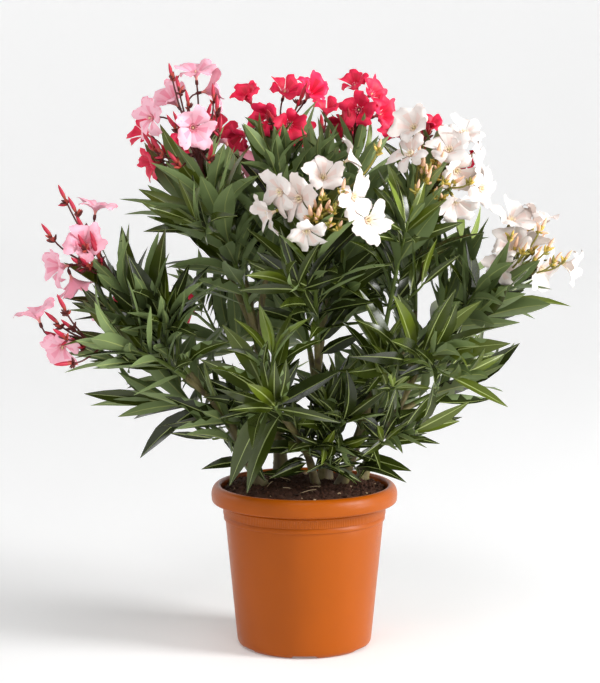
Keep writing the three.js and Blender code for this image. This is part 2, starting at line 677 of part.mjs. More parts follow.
// A head of blossom: flowers that leave its axis one above the other, and buds
// between them.
function blossomSolids(shoot, rachis, random) {
  const { look, heads, buds } = shoot.blossom;
  const tip = vec(shoot.tip);
  const centre = headCentre(shoot);
  const owners = [shoot.name];
  const solids = [];
  heads.forEach((head, i) => {
    const spread = vec(head).sub(centre).normalize();
    const radius = FLOWER.radius + FLOWER.radiusStray * random();
    const phase = random() * 2 * Math.PI;
    const stray = new THREE.Vector3(random() - 0.5, random() - 0.5, random() - 0.5);
    const facing = unit(look)
      .addScaledVector(spread, FLOWER.spread)
      .addScaledVector(stray, FLOWER.stray)
      .normalize();
    const from = rachis.getPoint(mix(0.2, 0.96, i / heads.length));
    const out = tip.clone().add(vec(head)).sub(from).normalize();
    const root = from.addScaledVector(out, -FLOWER.sunk);
    for (const [size, push] of FLOWER.fits) {
      const middle = tip.clone().add(vec(head)).addScaledVector(facing, push);
      const flower = { root, centre: middle, look: facing, radius: radius * size, phase };
      const solid = toSolid(flowerGeometry(flower));
      if (touches(solid, owners)) continue;
      const last = size === FLOWER.fits.at(-1)[0];
      if (!last && solids.some((other) => !solid.intersect(other).isEmpty())) continue;
      solids.push(solid);
      break;
    }
  });
  for (let i = 0; i < buds; i += 1) {
    const t = mix(0.3, 1, (i + 1) / buds);
    const azimuth = random() * 2 * Math.PI;
    const along = opened(rachis.getTangent(t), azimuth, radians(BUD.open + BUD.openStray * random()));
    const root = rachis.getPoint(t).addScaledVector(along, -BUD.sunk);
    const bud = toSolid(budGeometry(root, along, BUD.shortest + BUD.spread * random()));
    if (!touches(bud, owners)) solids.push(bud);
  }
  return solids;
}

// A mass is its frame with each leaf that finds a way clear of every other solid.
// Past its root, a leaf keeps clear of its own mass too.
function massSolid(shoot) {
  const parts = [...shoot.parts];
  for (const leaf of shoot.leaves) {
    for (const turn of LEAF.turns) {
      const set = setLeaf(leaf, turn);
      const outer = toSolid(leafGeometry(set, GAP, LEAF.free / set.length));
      if (touches(outer, []) || touches(toSolid(leafGeometry(set, GAP)), [shoot.name])) continue;
      const solid = toSolid(leafGeometry(set));
      parts.push(solid);
      place(solid, shoot.name);
      break;
    }
  }
  return largest(wasm.Manifold.union(parts));
}

// --------------------------------------------------------------------- assembly

const group = new THREE.Group();

function finish(colour, roughness) {
  return new THREE.MeshStandardMaterial({ color: colour, roughness, metalness: 0 });
}

function addNode(name, solid, material, parent = group) {
  const mesh = new THREE.Mesh(toGeometry(solid), material);
  mesh.name = name;
  parent.add(mesh);
}

const pot = potSolid();
const soil = soilSolid();
place(pot, "pot");
place(soil, "soil");
addNode("pot", pot, finish(COLOURS.pot, 0.45));
addNode("soil", soil, finish(COLOURS.soil, 0.95));

const plant = new THREE.Group();
group.add(plant);
const stems = growStems();
for (const [name, stem] of stems) addNode("stem_" + name, stem.solid, finish(COLOURS.bark, 0.85), plant);
const boughed = growBoughs(stems);
for (const shoot of boughed) {
  if (shoot.bough) addNode("bough_" + shoot.name, shoot.bough, finish(COLOURS.bark, 0.8), plant);
}
const framed = boughed.map(growFrame);
for (const shoot of framed) {
  addNode("mass_" + shoot.name, massSolid(shoot), finish(COLOURS.leaf, 0.5), plant);
}

export default group;
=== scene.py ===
"""A potted oleander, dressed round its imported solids.

Stems, boughs and leafy shoots follow the same seeded rule as the solids. Places and
sizes in the plant's plan are millimetres, +Z up, -Y to the front; properties are metres.
"""

import math

import bpy
import numpy as np
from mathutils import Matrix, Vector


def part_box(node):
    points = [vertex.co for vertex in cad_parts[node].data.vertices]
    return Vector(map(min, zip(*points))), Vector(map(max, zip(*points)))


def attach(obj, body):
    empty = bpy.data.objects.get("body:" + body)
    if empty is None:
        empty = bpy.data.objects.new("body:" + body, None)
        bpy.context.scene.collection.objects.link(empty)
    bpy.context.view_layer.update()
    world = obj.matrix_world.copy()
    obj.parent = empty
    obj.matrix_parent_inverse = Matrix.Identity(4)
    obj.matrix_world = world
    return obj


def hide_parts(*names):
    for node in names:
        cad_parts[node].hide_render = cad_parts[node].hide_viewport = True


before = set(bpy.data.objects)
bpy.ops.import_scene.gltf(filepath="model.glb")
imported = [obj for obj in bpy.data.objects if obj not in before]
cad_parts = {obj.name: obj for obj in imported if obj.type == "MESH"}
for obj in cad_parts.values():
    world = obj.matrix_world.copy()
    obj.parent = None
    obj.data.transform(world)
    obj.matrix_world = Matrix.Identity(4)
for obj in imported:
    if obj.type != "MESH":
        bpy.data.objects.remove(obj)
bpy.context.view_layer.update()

bl_info = {
    "name": "Potted Oleander",
    "version": (1, 0, 0),
    "blender": (4, 5, 0),
    "location": "View3D > Sidebar > Oleander",
    "description": "Builds a flowering oleander in its pot, piece by piece",
    "category": "Add Mesh",
}

MM = 0.001
UP = np.array([0.0, 0.0, 1.0])
POT_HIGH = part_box("pot")[1]
SOIL_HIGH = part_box("soil")[1]

# ------------------------------------------------------------------ the plant's plan

# A stem: foot on the soil, lean there, fork, heading there, radius at foot and fork.
STEMS = {
    "left": ((-48, -2), (-0.55, -0.1, 1), (-102, -20, 282), (-0.62, -0.12, 0.77), (6.6, 4.8)),
    "back_left": ((-28, 45), (0.08, 0, 1), (-52, 25, 338), (-0.15, -0.1, 1), (8.2, 6)),
    "young": ((13, 3), (-0.2, -0.35, 1), (-22, -64, 268), (-0.55, -0.4, 0.75), (4.6, 3.4)),
    "centre": ((24, 30), (0.02, 0, 1), (15, 5, 307), (0, -0.12, 1), (7.8, 5.8)),
    "right": ((41, 0), (0.4, -0.1, 1), (76, -20, 298), (0.25, -0.05, 1), (6.2, 4.8)),
    "back_right": ((66, 40), (0.35, 0.05, 1), (110, 50, 265), (0.6, 0.1, 0.8), (6, 4.8)),
}


def shoot(name, stem, tip, heading, bare, leaf, seed, at=1.0, twigs=2, droop=0.1, head=None):
    """A leafy shoot: its stem and the place along it, tip, heading, share without leaves."""
    return dict(name=name, stem=stem, tip=np.array(tip, float), heading=unit(heading),
                bare=bare, leaf=leaf, seed=seed, at=at, twigs=twigs, droop=droop, head=head)


def blossom(tint, look, buds, flowers, sprigs=()):
    """A head of blossom: tint, the way it looks, sprigs of buds strewn by the rule, then the
    places of flowers and of further sprigs, from the tip."""
    return dict(tint=tint, look=unit(look), buds=buds, flowers=np.array(flowers, float),
                sprigs=np.array(sprigs, float).reshape(-1, 3))


def unit(vector):
    """A vector, or an array of them, at length one."""
    vector = np.asarray(vector, float)
    return vector / np.linalg.norm(vector, axis=-1, keepdims=True)


# Every shoot of the plant, front and back.
SHOOTS = [
    shoot("pink_upper_left", "left", (-202, -40, 411), (-0.6, -0.05, 0.8), 0.22, 90, 11, head=blossom(
        "pink", (-0.5, -0.75, 0.3), 4, [(-26, 10, 91), (-37, -15, 49), (-66, -20, 23), (-50, -4, 2)],
        [(-58, -4, 94), (-46, -8, 80), (-38, -10, 62), (-72, -14, 54), (-30, -14, 36),
        (-22, -10, 22)])),
    shoot("pink_lower_left", "left", (-204, -92, 350), (-0.95, -0.2, 0.15), 0.3, 86, 12, head=blossom(
        "pink", (-0.5, -0.8, 0.1), 3, [(-84, -8, 40), (-56, -13, -1)], [(-44, -14, 22), (-58, -10, 26),
        (-34, -12, 4)])),
    shoot("pink_small_left", "left", (-182, 70, 335), (-0.8, 0.25, 0.5), 0.35, 88, 13, head=blossom(
        "pink", (-0.3, -0.6, 0.5), 2, [(-43, -10, 33), (-30, 24, 48)])),
    shoot("leafy_low_left", "left", (-165, 30, 270), (-0.95, 0.3, -0.1), 0.3, 86, 14, at=0.72, twigs=1,
          droop=0.04),
    shoot("pink_top_left", "back_left", (-108, -10, 522), (-0.35, -0.05, 0.95), 0.18, 104, 15,
          head=blossom(
        "pink", (-0.1, -0.85, 0.45), 4, [(-12, 5, 126), (-12, -25, 62), (-66, 10, 72), (6, 18, 103),
        (-40, 30, 93)], [(-37, -4, 116), (-29, -8, 101), (-19, -10, 86), (8, -4, 92), (12, -10, 77),
        (15, -14, 56), (-60, -6, 40), (-48, -12, 33), (-30, -20, 22), (4, -22, 28)])),
    shoot("red_left", "back_left", (-140, 80, 505), (-0.5, 0.2, 0.85), 0.42, 92, 16, head=blossom(
        "red", (-0.4, -0.6, 0.4), 3, [(-46, -4, 72), (-36, -12, 34), (2, -22, 58), (44, -16, 78)])),
    shoot("red_top", "back_left", (-20, 35, 552), (0.02, 0, 1), 0.36, 94, 17, head=blossom(
        "red", (-0.05, -0.85, 0.4), 2, [(-44, 4, 66), (-22, -8, 42), (-1, 12, 74), (27, -4, 70),
        (-52, 14, 20), (4, -16, 34)])),
    shoot("back_left_high", "back_left", (-95, 165, 500), (-0.25, 0.55, 0.8), 0.36, 96, 18,
          head=blossom(
        "pink", (-0.3, 0.8, 0.5), 3, [(-30, 30, 40), (-2, 16, 68), (18, 36, 34)])),
    shoot("back_left_low", "back_left", (-128, 178, 355), (-0.6, 0.65, 0.45), 0.4, 96, 19, at=0.6,
          head=blossom(
        "red", (-0.5, 0.8, 0.3), 2, [(-46, 34, -2), (-22, 44, 2)])),
    shoot("front_young", "young", (-46, -98, 308), (-0.4, -0.35, 0.8), 0, 98, 20, droop=0.22),
    shoot("low_front_left", "back_left", (-92, -34, 262), (-0.7, -0.5, 0.4), 0, 84, 41, at=0.42,
          twigs=3, droop=0.03),
    shoot("low_front", "centre", (44, -58, 264), (0.25, -0.7, 0.5), 0, 76, 42, at=0.5, twigs=4),
    shoot("low_front_right", "right", (124, -52, 252), (0.8, -0.5, 0.3), 0, 76, 43, at=0.5, twigs=1,
          droop=0.03),
    shoot("low_back", "back_right", (52, 132, 268), (-0.1, 0.8, 0.5), 0, 84, 44, at=0.5),
    shoot("young_side", "young", (36, -34, 236), (0.5, -0.3, 0.8), 0, 58, 21, at=0.45, twigs=1),
    shoot("white_front", "centre", (12, -92, 470), (0.02, -0.3, 0.95), 0.2, 98, 22, head=blossom(
        "white", (0, -0.95, 0.2), 4, [(-21, -28, 42), (-10, -40, 6), (-54, -22, 24), (8, -14, 66),
        (42, -6, 86), (44, -30, 44), (58, -24, 20), (-42, -28, 48)], [(6, -44, 44), (19, -46, 32),
        (14, -46, 17), (27, -42, 50), (24, -40, 12), (65, -14, 92), (4, -42, 26)])),
    shoot("red_top_right", "centre", (52, 45, 540), (0.12, 0.05, 1), 0.34, 94, 23, head=blossom(
        "red", (0.1, -0.85, 0.4), 3, [(4, 4, 92), (26, -4, 82), (8, -16, 62), (36, 8, 58),
        (-8, 6, 44)])),
    shoot("back_centre_high", "centre", (22, 150, 520), (0.05, 0.35, 0.95), 0.36, 96, 24, head=blossom(
        "red", (0, 0.8, 0.6), 3, [(-24, 22, 52), (4, 4, 82), (28, 24, 56)])),
    shoot("back_centre_low", "centre", (-8, 196, 390), (-0.1, 0.85, 0.5), 0.36, 96, 25, at=0.62,
          head=blossom(
        "white", (0, 1, 0.3), 2, [(-22, 36, 18), (16, 32, 34)])),
    shoot("white_top_right", "right", (116, -30, 496), (0.22, -0.05, 0.95), 0.26, 98, 26, head=blossom(
        "white", (0.35, -0.85, 0.3), 4, [(2, 5, 90), (-4, -16, 64), (41, -6, 68), (52, -12, 40),
        (60, 10, 86), (76, 6, 58), (82, 0, 22), (50, -20, 6)], [(5, -28, 20), (16, -26, 31),
        (26, -30, 16), (36, -24, 30), (18, -24, 44), (34, -24, 12), (64, -20, 30)])),
    shoot("white_far_right", "right", (209, -15, 404), (0.75, 0.05, 0.6), 0.28, 100, 27, head=blossom(
        "white", (0.55, -0.65, 0.45), 4, [(22, 10, 82), (51, 16, 80), (22, -2, 50), (8, -10, 26),
        (46, 8, 54), (88, 14, 26), (58, 2, 22)], [(17, -20, 60), (50, -14, 68), (42, -22, 34),
        (64, -18, 32), (76, -14, 34), (30, -24, 44), (56, -20, 46)])),
    shoot("rosette_right", "right", (138, -138, 352), (0.35, -0.8, 0.4), 0.36, 90, 28),
    shoot("young_right", "right", (86, -66, 340), (0.1, -0.2, 0.95), 0.3, 66, 29, at=0.8),
    shoot("leafy_low_right", "back_right", (193, 50, 290), (0.95, 0.05, 0.12), 0.3, 82, 30, at=0.8,
          twigs=0, droop=0.02),
    shoot("leafy_mid_right", "back_right", (176, 66, 430), (0.3, 0.05, 0.95), 0.3, 94, 31),
    shoot("red_right", "back_right", (131, 92, 522), (0.12, 0.12, 1), 0.4, 92, 32, head=blossom(
        "red", (0.2, -0.6, 0.5), 3, [(-25, -5, 54), (50, 2, 22), (12, 6, 60)])),
    shoot("back_right_high", "back_right", (118, 184, 440), (0.15, 0.65, 0.75), 0.38, 96, 33,
          head=blossom(
        "white", (0.3, 0.8, 0.5), 3, [(-18, 24, 46), (14, 8, 66), (24, 34, 28)])),
    shoot("back_right_low", "back_right", (150, 168, 318), (0.55, 0.8, 0.25), 0.36, 94, 34, at=0.66),
]

# Gaps that stay open through the crown: x, z and half sizes where a line from the eye
# crosses the plane of the pot's middle.
EYE = np.array([-4.9, -2400, 650])
GAPS = np.array([
    (-111, 369, 12, 22), (93, 372, 8, 22), (103, 412, 13, 13), (131, 383, 15, 34),
    (-2, 277, 9, 12), (46, 243, 10, 13), (-229, 355, 16, 10), (-138, 450, 14, 20),
    (213, 352, 18, 11), (202, 264, 22, 12), (178, 240, 24, 12), (-212, 270, 16, 9),
    (-110, 226, 20, 11), (207, 302, 16, 8), (196, 437, 14, 13)], float)
# Further twigs: the shoot, the place along it, heading, length and length of leaf.
TWIGS = [("pink_upper_left", 0.56, (0.22, -0.7, 0.65), 30, 82),
         ("white_far_right", 0.66, (0.95, -0.15, 0.2), 44, 98)]
# Single leaves: the shoot or stem, the place along it, the leaf's end and how far it droops.
SINGLES = [
    ("front_young", 0.6, (-82, -97, 213), 0.12), ("front_young", 0.15, (-68, -92, 206), 0.12),
    ("low_front", 0.95, (-20, -104, 298), 0.02), ("right", 0.3, (114, -40, 214), 0.12),
    ("left", 0.25, (-110, -42, 216), 0.12), ("left", 0.55, (-44, -52, 208), 0.12),
    ("young", 0.3, (-36, -48, 204), 0.12), ("young", 0.55, (42, -44, 212), 0.12),
    ("right", 0.15, (108, -66, 208), 0.12), ("right", 0.6, (86, -46, 216), 0.12),
    ("white_front", 0.12, (58, -46, 366), 0.02), ("white_front", 0.2, (50, -58, 396), 0.02),
    ("leafy_low_right", 0.85, (264, 20, 322), 0.02), ("leafy_low_right", 0.8, (244, 24, 340), 0.02),
    ("leafy_low_left", 0.45, (-187, 12, 220), 0.04), ("leafy_low_left", 0.85, (-247, 16, 290), 0.02),
    ("pink_upper_left", 0.78, (-193, -45, 479), 0.02),
    ("pink_upper_left", 0.62, (-154, -55, 479), 0.02)]
# Young leaves low on a stem: its name, whorls and length of leaf.
GROWTH = [("young", 5, 66), ("centre", 4, 62), ("back_left", 4, 70), ("left", 3, 74), ("right", 4, 64)]
BACKGROUND = "low_front"  # shoot whose greens single and young leaves on a stem take

BEND = 0.36  # share of a limb's span that its end headings hold
STEM_GAP = 0.3  # between the soil and the cut foot of a stem
FLARE = (1.9, 9)  # swelling of a stem at the soil, and how far up it fades
TIP_RADIUS, TAPER = 1.7, 0.7  # of a shoot, and the power by which it thins
LEAVING = (0.72, 1.2)  # a shoot's foot against its stem: radius, heading
OPEN_OLD, OPEN_YOUNG = 82, 30  # degrees from the axis, in the lowest and highest whorl
OPEN_STRAY, STRAY = 22, 0.5  # disorder: degrees of opening, radians of turn
LEAF_LIFT = 0.4
TWIG_OPEN, TWIG_LEAF = 46, 0.66  # degrees from its shoot, length of leaf against the shoot's
TWIG_RADII, TWIG_WHORLS, TWIG_DROOP = (1.7, 1.1), 4, 0.08
GROWTH_SPAN, GROWTH_DROOP = (0.1, 0.8), 0.3
TUBE = 17  # from a flower's petals down to its neck
OUTWARD, CHANCE = 0.85, 0.9  # what a flower faces besides its look: off the middle, anywhere
STALKS = {"axis": (TIP_RADIUS, 1.2), "flower": (1.25, 0.95), "sprig": (1.5, 0.9), "spray": (1.2, 0.9)}
SMALL_BUDS = 8
HEAD_SEED, TWIG_SEED, GROWTH_SEED, LEAF_SEED, PETAL_SEED = 500, 80, 70, 90, 40

# A tint of blossom: how far flowers turn to the light, by turns, their reach, how far petals
# rise at least and at most, how much of the deep colour goes into petal, blush, throat and
# back, size of a sprig's full bud, the stalk, and the colours of tube, frill, bud and the
# bud's foot.
TINTS = {
    "pink": dict(looks=(0.2, 0.8, 1.2), spread=1.02, cup=(0.05, 0.8), deep=(0, 0.13, 0.44, 0.32),
                 sprig=0.85, stalk="dark", tube=(240, 160, 150), frill=(248, 176, 190),
                 bud=(190, 32, 62), foot=(176, 66, 52)),
    "red": dict(looks=(1.1, 0.5, 0.8), spread=0.9, cup=(0.3, 0.95), deep=(0, 0.6, 1, 0.4),
                sprig=0.85, stalk="dark", tube=(226, 90, 96), frill=(244, 110, 140),
                bud=(176, 14, 40), foot=(158, 38, 36)),
    "white": dict(looks=(1.1, 0.5, 0.8), spread=1.06, cup=(0.0, 0.7), deep=(0, 0.12, 0.5, 0.1),
                  sprig=0.62, stalk="olive", tube=(246, 222, 190), frill=(252, 236, 214),
                  bud=(236, 190, 156), foot=(206, 176, 78)),
}
# Columns of the rows that stand for leaves, flowers and buds.
SHOOT, PLACE, AXIS = 0, slice(1, 4), slice(4, 7)
AZIMUTH, OPENING, REACH, DROOP, GIRTH, SHARE, SINGLE = range(7, 14)  # of a leaf
SIZE, TURN, CUP, BLUSH = range(7, 11)  # of a flower; a bud has the first two


# ------------------------------------------------------------------------- properties

def linear(red, green, blue):
    """A colour of 0 to 255 as the linear numbers that a shader takes."""
    shares = np.array([red, green, blue]) / 255
    return tuple(np.where(shares > 0.04045, ((shares + 0.055) / 1.055) ** 2.4, shares / 12.92))


def colour(name, red, green, blue):
    """A colour property with its default."""
    return bpy.props.FloatVectorProperty(
        name=name, description=name + " colour", subtype="COLOR", size=3, min=0, max=1,
        default=linear(red, green, blue))


def length(name, metres, description):
    """A length property with its default in metres."""
    return bpy.props.FloatProperty(
        name=name, description=description, default=metres, min=0, unit="LENGTH", precision=4)


def amount(name, default, description):
    """A plain number property with its default."""
    return bpy.props.FloatProperty(name=name, description=description, default=default, min=0)


class OleanderPot(bpy.types.PropertyGroup):
    """Sizes and colours of the pot and its soil."""

    height: length("Height", POT_HIGH.z, "Height of the pot")
    rim: length("Rim radius", POT_HIGH.x, "Outer radius of the rolled rim")
    base: length("Base radius", 0.0755, "Radius of the pot at its foot")
    wall: length("Wall", 0.0022, "Thickness of the pot's wall")
    plastic: colour("Plastic", 166, 79, 2)
    soil: colour("Soil", 66, 42, 34)
    crumb: colour("Crumb", 104, 68, 50)
    grit: colour("Grit", 186, 160, 128)


class OleanderWood(bpy.types.PropertyGroup):
    """Bark and green twigs."""

    bark: colour("Bark", 122, 112, 66)
    old_bark: colour("Old bark", 96, 82, 58)
    scar: colour("Scar", 150, 136, 96)
    twig: colour("Twig", 104, 122, 52)


class OleanderLeaves(bpy.types.PropertyGroup):
    """Leaf sizes and the greens that are dealt out by spray."""

    spacing: length("Whorl spacing", 0.0132, "Distance between whorls along a shoot")
    width: amount("Width", 0.196, "Width of a leaf as a share of its length")
    thickness: length("Thickness", 0.0005, "Thickness of a leaf at its midrib")
    deep: colour("Deep green", 40, 49, 12)
    middle: colour("Middle green", 57, 68, 14)
    fresh: colour("Fresh green", 85, 98, 20)
    young: colour("Young green", 116, 134, 48)
    rib: colour("Midrib", 160, 172, 104)
    under: colour("Underside", 116, 134, 82)


class OleanderBlossom(bpy.types.PropertyGroup):
    """Sizes of flowers and buds, and their tints."""

    radius: length("Flower radius", 0.0235, "Reach of an open flower's petals")
    bud: length("Bud", 0.026, "Length of a full bud")
    pink: colour("Pink petal", 252, 192, 208)
    pink_deep: colour("Pink shade", 236, 84, 128)
    red: colour("Red petal", 246, 30, 86)
    red_deep: colour("Red shade", 212, 8, 56)
    white: colour("White petal", 239, 231, 226)
    white_deep: colour("White blush", 238, 200, 188)
    stalk_dark: colour("Dark stalk", 92, 30, 26)
    stalk_olive: colour("Olive stalk", 136, 128, 50)


class OleanderStage(bpy.types.PropertyGroup):
    """Floor, lights and camera."""

    floor: colour("Floor", 240, 240, 240)
    key: amount("Key light", 106, "Power of the key light on the right in watts")
    top: amount("Top light", 26, "Power of the light over the front in watts")
    edge: amount("Edge light", 8, "Power of the light behind on the left in watts")
    strip: amount("Strip light", 20, "Power of the low light on the right in watts")
    sky: amount("Sky", 0.15, "Strength of the even light all round")
    # Painted light: the floor and backdrop give off light of their own, so that they look brightly lit
    # without lamps on them.
    glow: amount("Backdrop glow", 0.39, "Light that the far backdrop gives off")
    lens: amount("Lens", 113.9, "Focal length of the camera in millimetres")


SETTINGS = {
    "oleander_pot": OleanderPot,
    "oleander_wood": OleanderWood,
    "oleander_leaves": OleanderLeaves,
    "oleander_blossom": OleanderBlossom,
    "oleander_stage": OleanderStage,
}


# -------------------------------------------------------------------- shader language

def calculation(operation):
    """A method that makes a Math node of two values."""
    return lambda self, other: self.math(operation, self, other)


class Signal:
    """A number socket that Python arithmetic turns into Math nodes."""

    def __init__(self, finish, socket):
        self.finish, self.socket = finish, socket

    def math(self, operation, *values):
        return Signal(self.finish, self.finish.node(
            "ShaderNodeMath", {"operation": operation}, *values).outputs[0])

    __add__ = __radd__ = calculation("ADD")
    __mul__ = __rmul__ = calculation("MULTIPLY")
    __sub__ = calculation("SUBTRACT")
    __gt__, __lt__ = calculation("GREATER_THAN"), calculation("LESS_THAN")


class Finish:
    """One surface finish: a node material whose shader's sockets are set by name."""

    def __init__(self, name, base, roughness, **constants):
        self.material = bpy.data.materials.new(name)
        self.material.use_nodes = True
        self.tree = self.material.node_tree
        self.shader = self.tree.nodes["Principled BSDF"]
        self.put("Base Color", base)
        self.put("Roughness", roughness)
        for socket, value in constants.items():
            self.put(socket.replace("_", " "), value)

    def put(self, socket, value):
        """Gives a shader socket a constant or the link that a pattern makes."""
        self.feed(self.shader.inputs[socket], value)

    def feed(self, socket, value):
        """Gives any socket a constant or a link."""
        if isinstance(value, Signal):
            value = value.socket
        if isinstance(value, bpy.types.NodeSocket):
            self.tree.links.new(value, socket)
            return
        if socket.type == "RGBA":
            value = (*value, 1.0)[:4]
        socket.default_value = value

    def node(self, kind, settings=None, *inputs, **named):
        """Adds a node: settings first, then its sockets by order or by name."""
        made = self.tree.nodes.new(kind)
        for key, value in (settings or {}).items():
            if key == "stops":
                self.stops(made.color_ramp, value)
            else:
                setattr(made, key, value)
        for socket, value in zip(made.inputs, inputs):
            self.feed(socket, value)
        for key, value in named.items():
            self.feed(made.inputs[key.replace("_", " ")], value)
        return made

    def stops(self, ramp, stops):
        """Sets the places and colours of a ramp."""
        while len(ramp.elements) < len(stops):
            ramp.elements.new(0.5)
        for element, (place, tone) in zip(ramp.elements, stops):
            element.position, element.color = place, (*tone, 1.0)

    def place(self, *scale):
        """Object coordinates, stretched by a scale for each axis."""
        spot = self.node("ShaderNodeTexCoord").outputs["Object"]
        if not scale:
            return spot
        return self.node("ShaderNodeMapping", None, Vector=spot, Scale=scale).outputs[0]

    def noise(self, size, *scale, detail=4.0, roughness=0.55):
        """Even noise from 0 to 1, whose grain is `size` metres."""
        return Signal(self, self.node("ShaderNodeTexNoise", None, Vector=self.place(*scale),
                                      Scale=1 / size, Detail=detail,
                                      Roughness=roughness).outputs["Fac"])

    def blend(self, share, first, second):
        """A colour between two, by a share."""
        made = self.node("ShaderNodeMix", {"data_type": "RGBA"})
        for number, value in ((0, share), (6, first), (7, second)):  # its colour sockets
            self.feed(made.inputs[number], value)
        return made.outputs[2]

    def bump(self, height, distance):
        """Relief from a height signal, in metres at full height."""
        made = self.node("ShaderNodeBump", None, Distance=distance, Height=height)
        self.put("Normal", made.outputs[0])


def shade(base, share):
    """A colour made darker (below 1) or lighter (above 1)."""
    return tuple(min(1.0, channel * share) for channel in base[:3])


def plain(tint, roughness, **tones):
    """Plain finishes for the parts of a tint, in the order of their tones."""
    return [Finish(f"{tint.capitalize()} {part.replace('_', ' ')}", tone, roughness)
            for part, tone in tones.items()]


# ---------------------------------------------------------------------- mesh language

def placed(name, data, place=(0, 0, 0), turn=(0, 0, 0)):
    """A new object of the scene."""
    made = bpy.data.objects.new(name, data)
    made.location, made.rotation_euler = place, turn
    bpy.context.scene.collection.objects.link(made)
    return made


class Shape:
    """Copies of small forms gathered into one mesh."""

    def __init__(self):
        self.points, self.faces, self.tones, self.folds = [], [], [], []
        self.count = 0

    def add(self, points, faces, tones=0, folds=0):
        """Adds copies of a form: points (copies, corners, 3), its faces (faces, 3 or 4).

        tones gives each face or each copy its material. folds marks each corner's place
        on a sheet's rim, so that the rim stays crisp.
        """
        copies, corners = points.shape[:2]
        offsets = self.count + corners * np.arange(copies)
        self.points.append(points.reshape(-1, 3))
        self.faces.append((faces[None] + offsets[:, None, None]).reshape(-1, faces.shape[1]))
        self.tones.append(np.broadcast_to(tones, (copies, len(faces))).ravel())
        self.folds.append(np.broadcast_to(folds, (copies, corners)).ravel())
        self.count += copies * corners

    def piece(self, name, finishes, slot, replaced=(), smooth=True):
        """Makes the mesh, and hands it to the frame as a piece of the plant."""
        mesh = bpy.data.meshes.new(name)
        points = (np.concatenate(self.points) * MM).astype(np.float32)
        corners = np.concatenate([faces.ravel() for faces in self.faces]).astype(np.int32)
        sizes = np.concatenate([np.full(len(f), f.shape[1]) for f in self.faces])
        mesh.vertices.add(len(points))
        mesh.vertices.foreach_set("co", points.ravel())
        mesh.loops.add(len(corners))
        mesh.loops.foreach_set("vertex_index", corners)
        mesh.polygons.add(len(sizes))
        mesh.polygons.foreach_set("loop_start", np.cumsum(sizes) - sizes)
        mesh.polygons.foreach_set("material_index", np.concatenate(self.tones).astype(np.int32))
        mesh.polygons.foreach_set("use_smooth", np.full(len(sizes), smooth))
        mesh.update(calc_edges=True)
        ends = np.empty(2 * len(mesh.edges), np.int32)
        mesh.edges.foreach_get("vertices", ends)
        folds = np.concatenate(self.folds)[ends.reshape(-1, 2)]
        crisp = mesh.attributes.new("sharp_edge", "BOOLEAN", "EDGE")
        crisp.data.foreach_set("value", (folds[:, 0] & folds[:, 1]) > 0)
        for finish in finishes:
            mesh.materials.append(finish.material)
        made = placed(name, mesh)
        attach(made, "root")
        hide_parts(*replaced)

    def add_limbs(self, limbs, sides=8):
        """Adds smooth tubes along limbs, each given with the shares where its rings lie."""
        paths = np.array([limb.at(t) for limb, t in limbs])
        radii = np.array([limb.radius(t) for limb, t in limbs])[..., None] * np.ones(sides)
        self.add(tube_points(paths, radii, sides), tube_form(paths.shape[1], sides))


def sheet_form(rows, columns):
    """Faces of a thin closed sheet: a front grid, and a back that shares the front's rim.

    Also returns which faces are at the back, and each corner's rim marks.
    """
    front = np.arange(rows * columns).reshape(rows, columns)
    back = front.copy()
    back[1:-1, 1:-1] = rows * columns + np.arange((rows - 2) * (columns - 2)).reshape(rows - 2, -1)
    quads = [np.stack([grid[:-1, :-1], grid[:-1, 1:], grid[1:, 1:], grid[1:, :-1]], -1).reshape(-1, 4)
             for grid in (front, back)]
    marks = np.zeros((rows, columns), int)
    for bit, edge in ((1, np.s_[:, 0]), (2, np.s_[:, -1]), (4, 0), (8, -1)):
        marks[edge] |= bit
    folds = np.concatenate([marks.ravel(), np.zeros((rows - 2) * (columns - 2), int)])
    behind = np.repeat([False, True], len(quads[0]))
    return np.concatenate([quads[0], quads[1][:, ::-1]]), behind, folds


def sheet_points(front, normal, thickness):
    """Points of sheets: fronts (copies, rows, columns, 3), with the backs moved inwards."""
    copies = len(front)
    back = (front - normal * thickness)[:, 1:-1, 1:-1]
    return np.concatenate([front.reshape(copies, -1, 3), back.reshape(copies, -1, 3)], 1)


def tube_form(stations, sides):
    """Faces of a tube of rings with both ends closed. The number of sides is even."""
    ring = np.arange(stations * sides).reshape(stations, sides)
    onward = np.roll(ring, -1, 1)
    walls = np.stack([ring[:-1], onward[:-1], onward[1:], ring[1:]], -1).reshape(-1, 4)
    spans = np.arange(1, sides - 2, 2)
    foot = np.stack([0 * spans, spans + 2, spans + 1, spans], -1)
    head = np.stack([0 * spans, spans, spans + 1, spans + 2], -1) + (stations - 1) * sides
    return np.concatenate([walls, foot, head])


def rounds(sides):
    """Angles of the corners of a ring."""
    return 2 * np.pi * np.arange(sides) / sides


def spun(first, second, angle):
    """Directions at angles between two that are square to each other."""
    return first * np.cos(angle) + second * np.sin(angle)


def tube_points(paths, radii, sides):
    """Rings square to each path: paths (copies, stations, 3), radii that broadcast to
    (copies, stations, sides)."""
    along = unit(np.gradient(paths, axis=1))
    helper = np.eye(3)[np.abs(paths[:, -1] - paths[:, 0]).argmin(1)]
    across = unit(np.cross(helper[:, None], along))[:, :, None]
    ring = spun(across, np.cross(along[:, :, None], across), rounds(sides)[:, None])
    points = paths[:, :, None] + ring * np.asarray(radii)[..., None]
    return points.reshape(len(paths), -1, 3)


def turned_points(radii, heights, sides):
    """Rings of a form turned round +Z, from its profile of radii and heights."""
    angle = rounds(sides)
    radii, heights = np.asarray(radii)[:, None], np.asarray(heights)[:, None]
    return np.stack([radii * np.cos(angle), radii * np.sin(angle), heights + 0 * angle], -1)


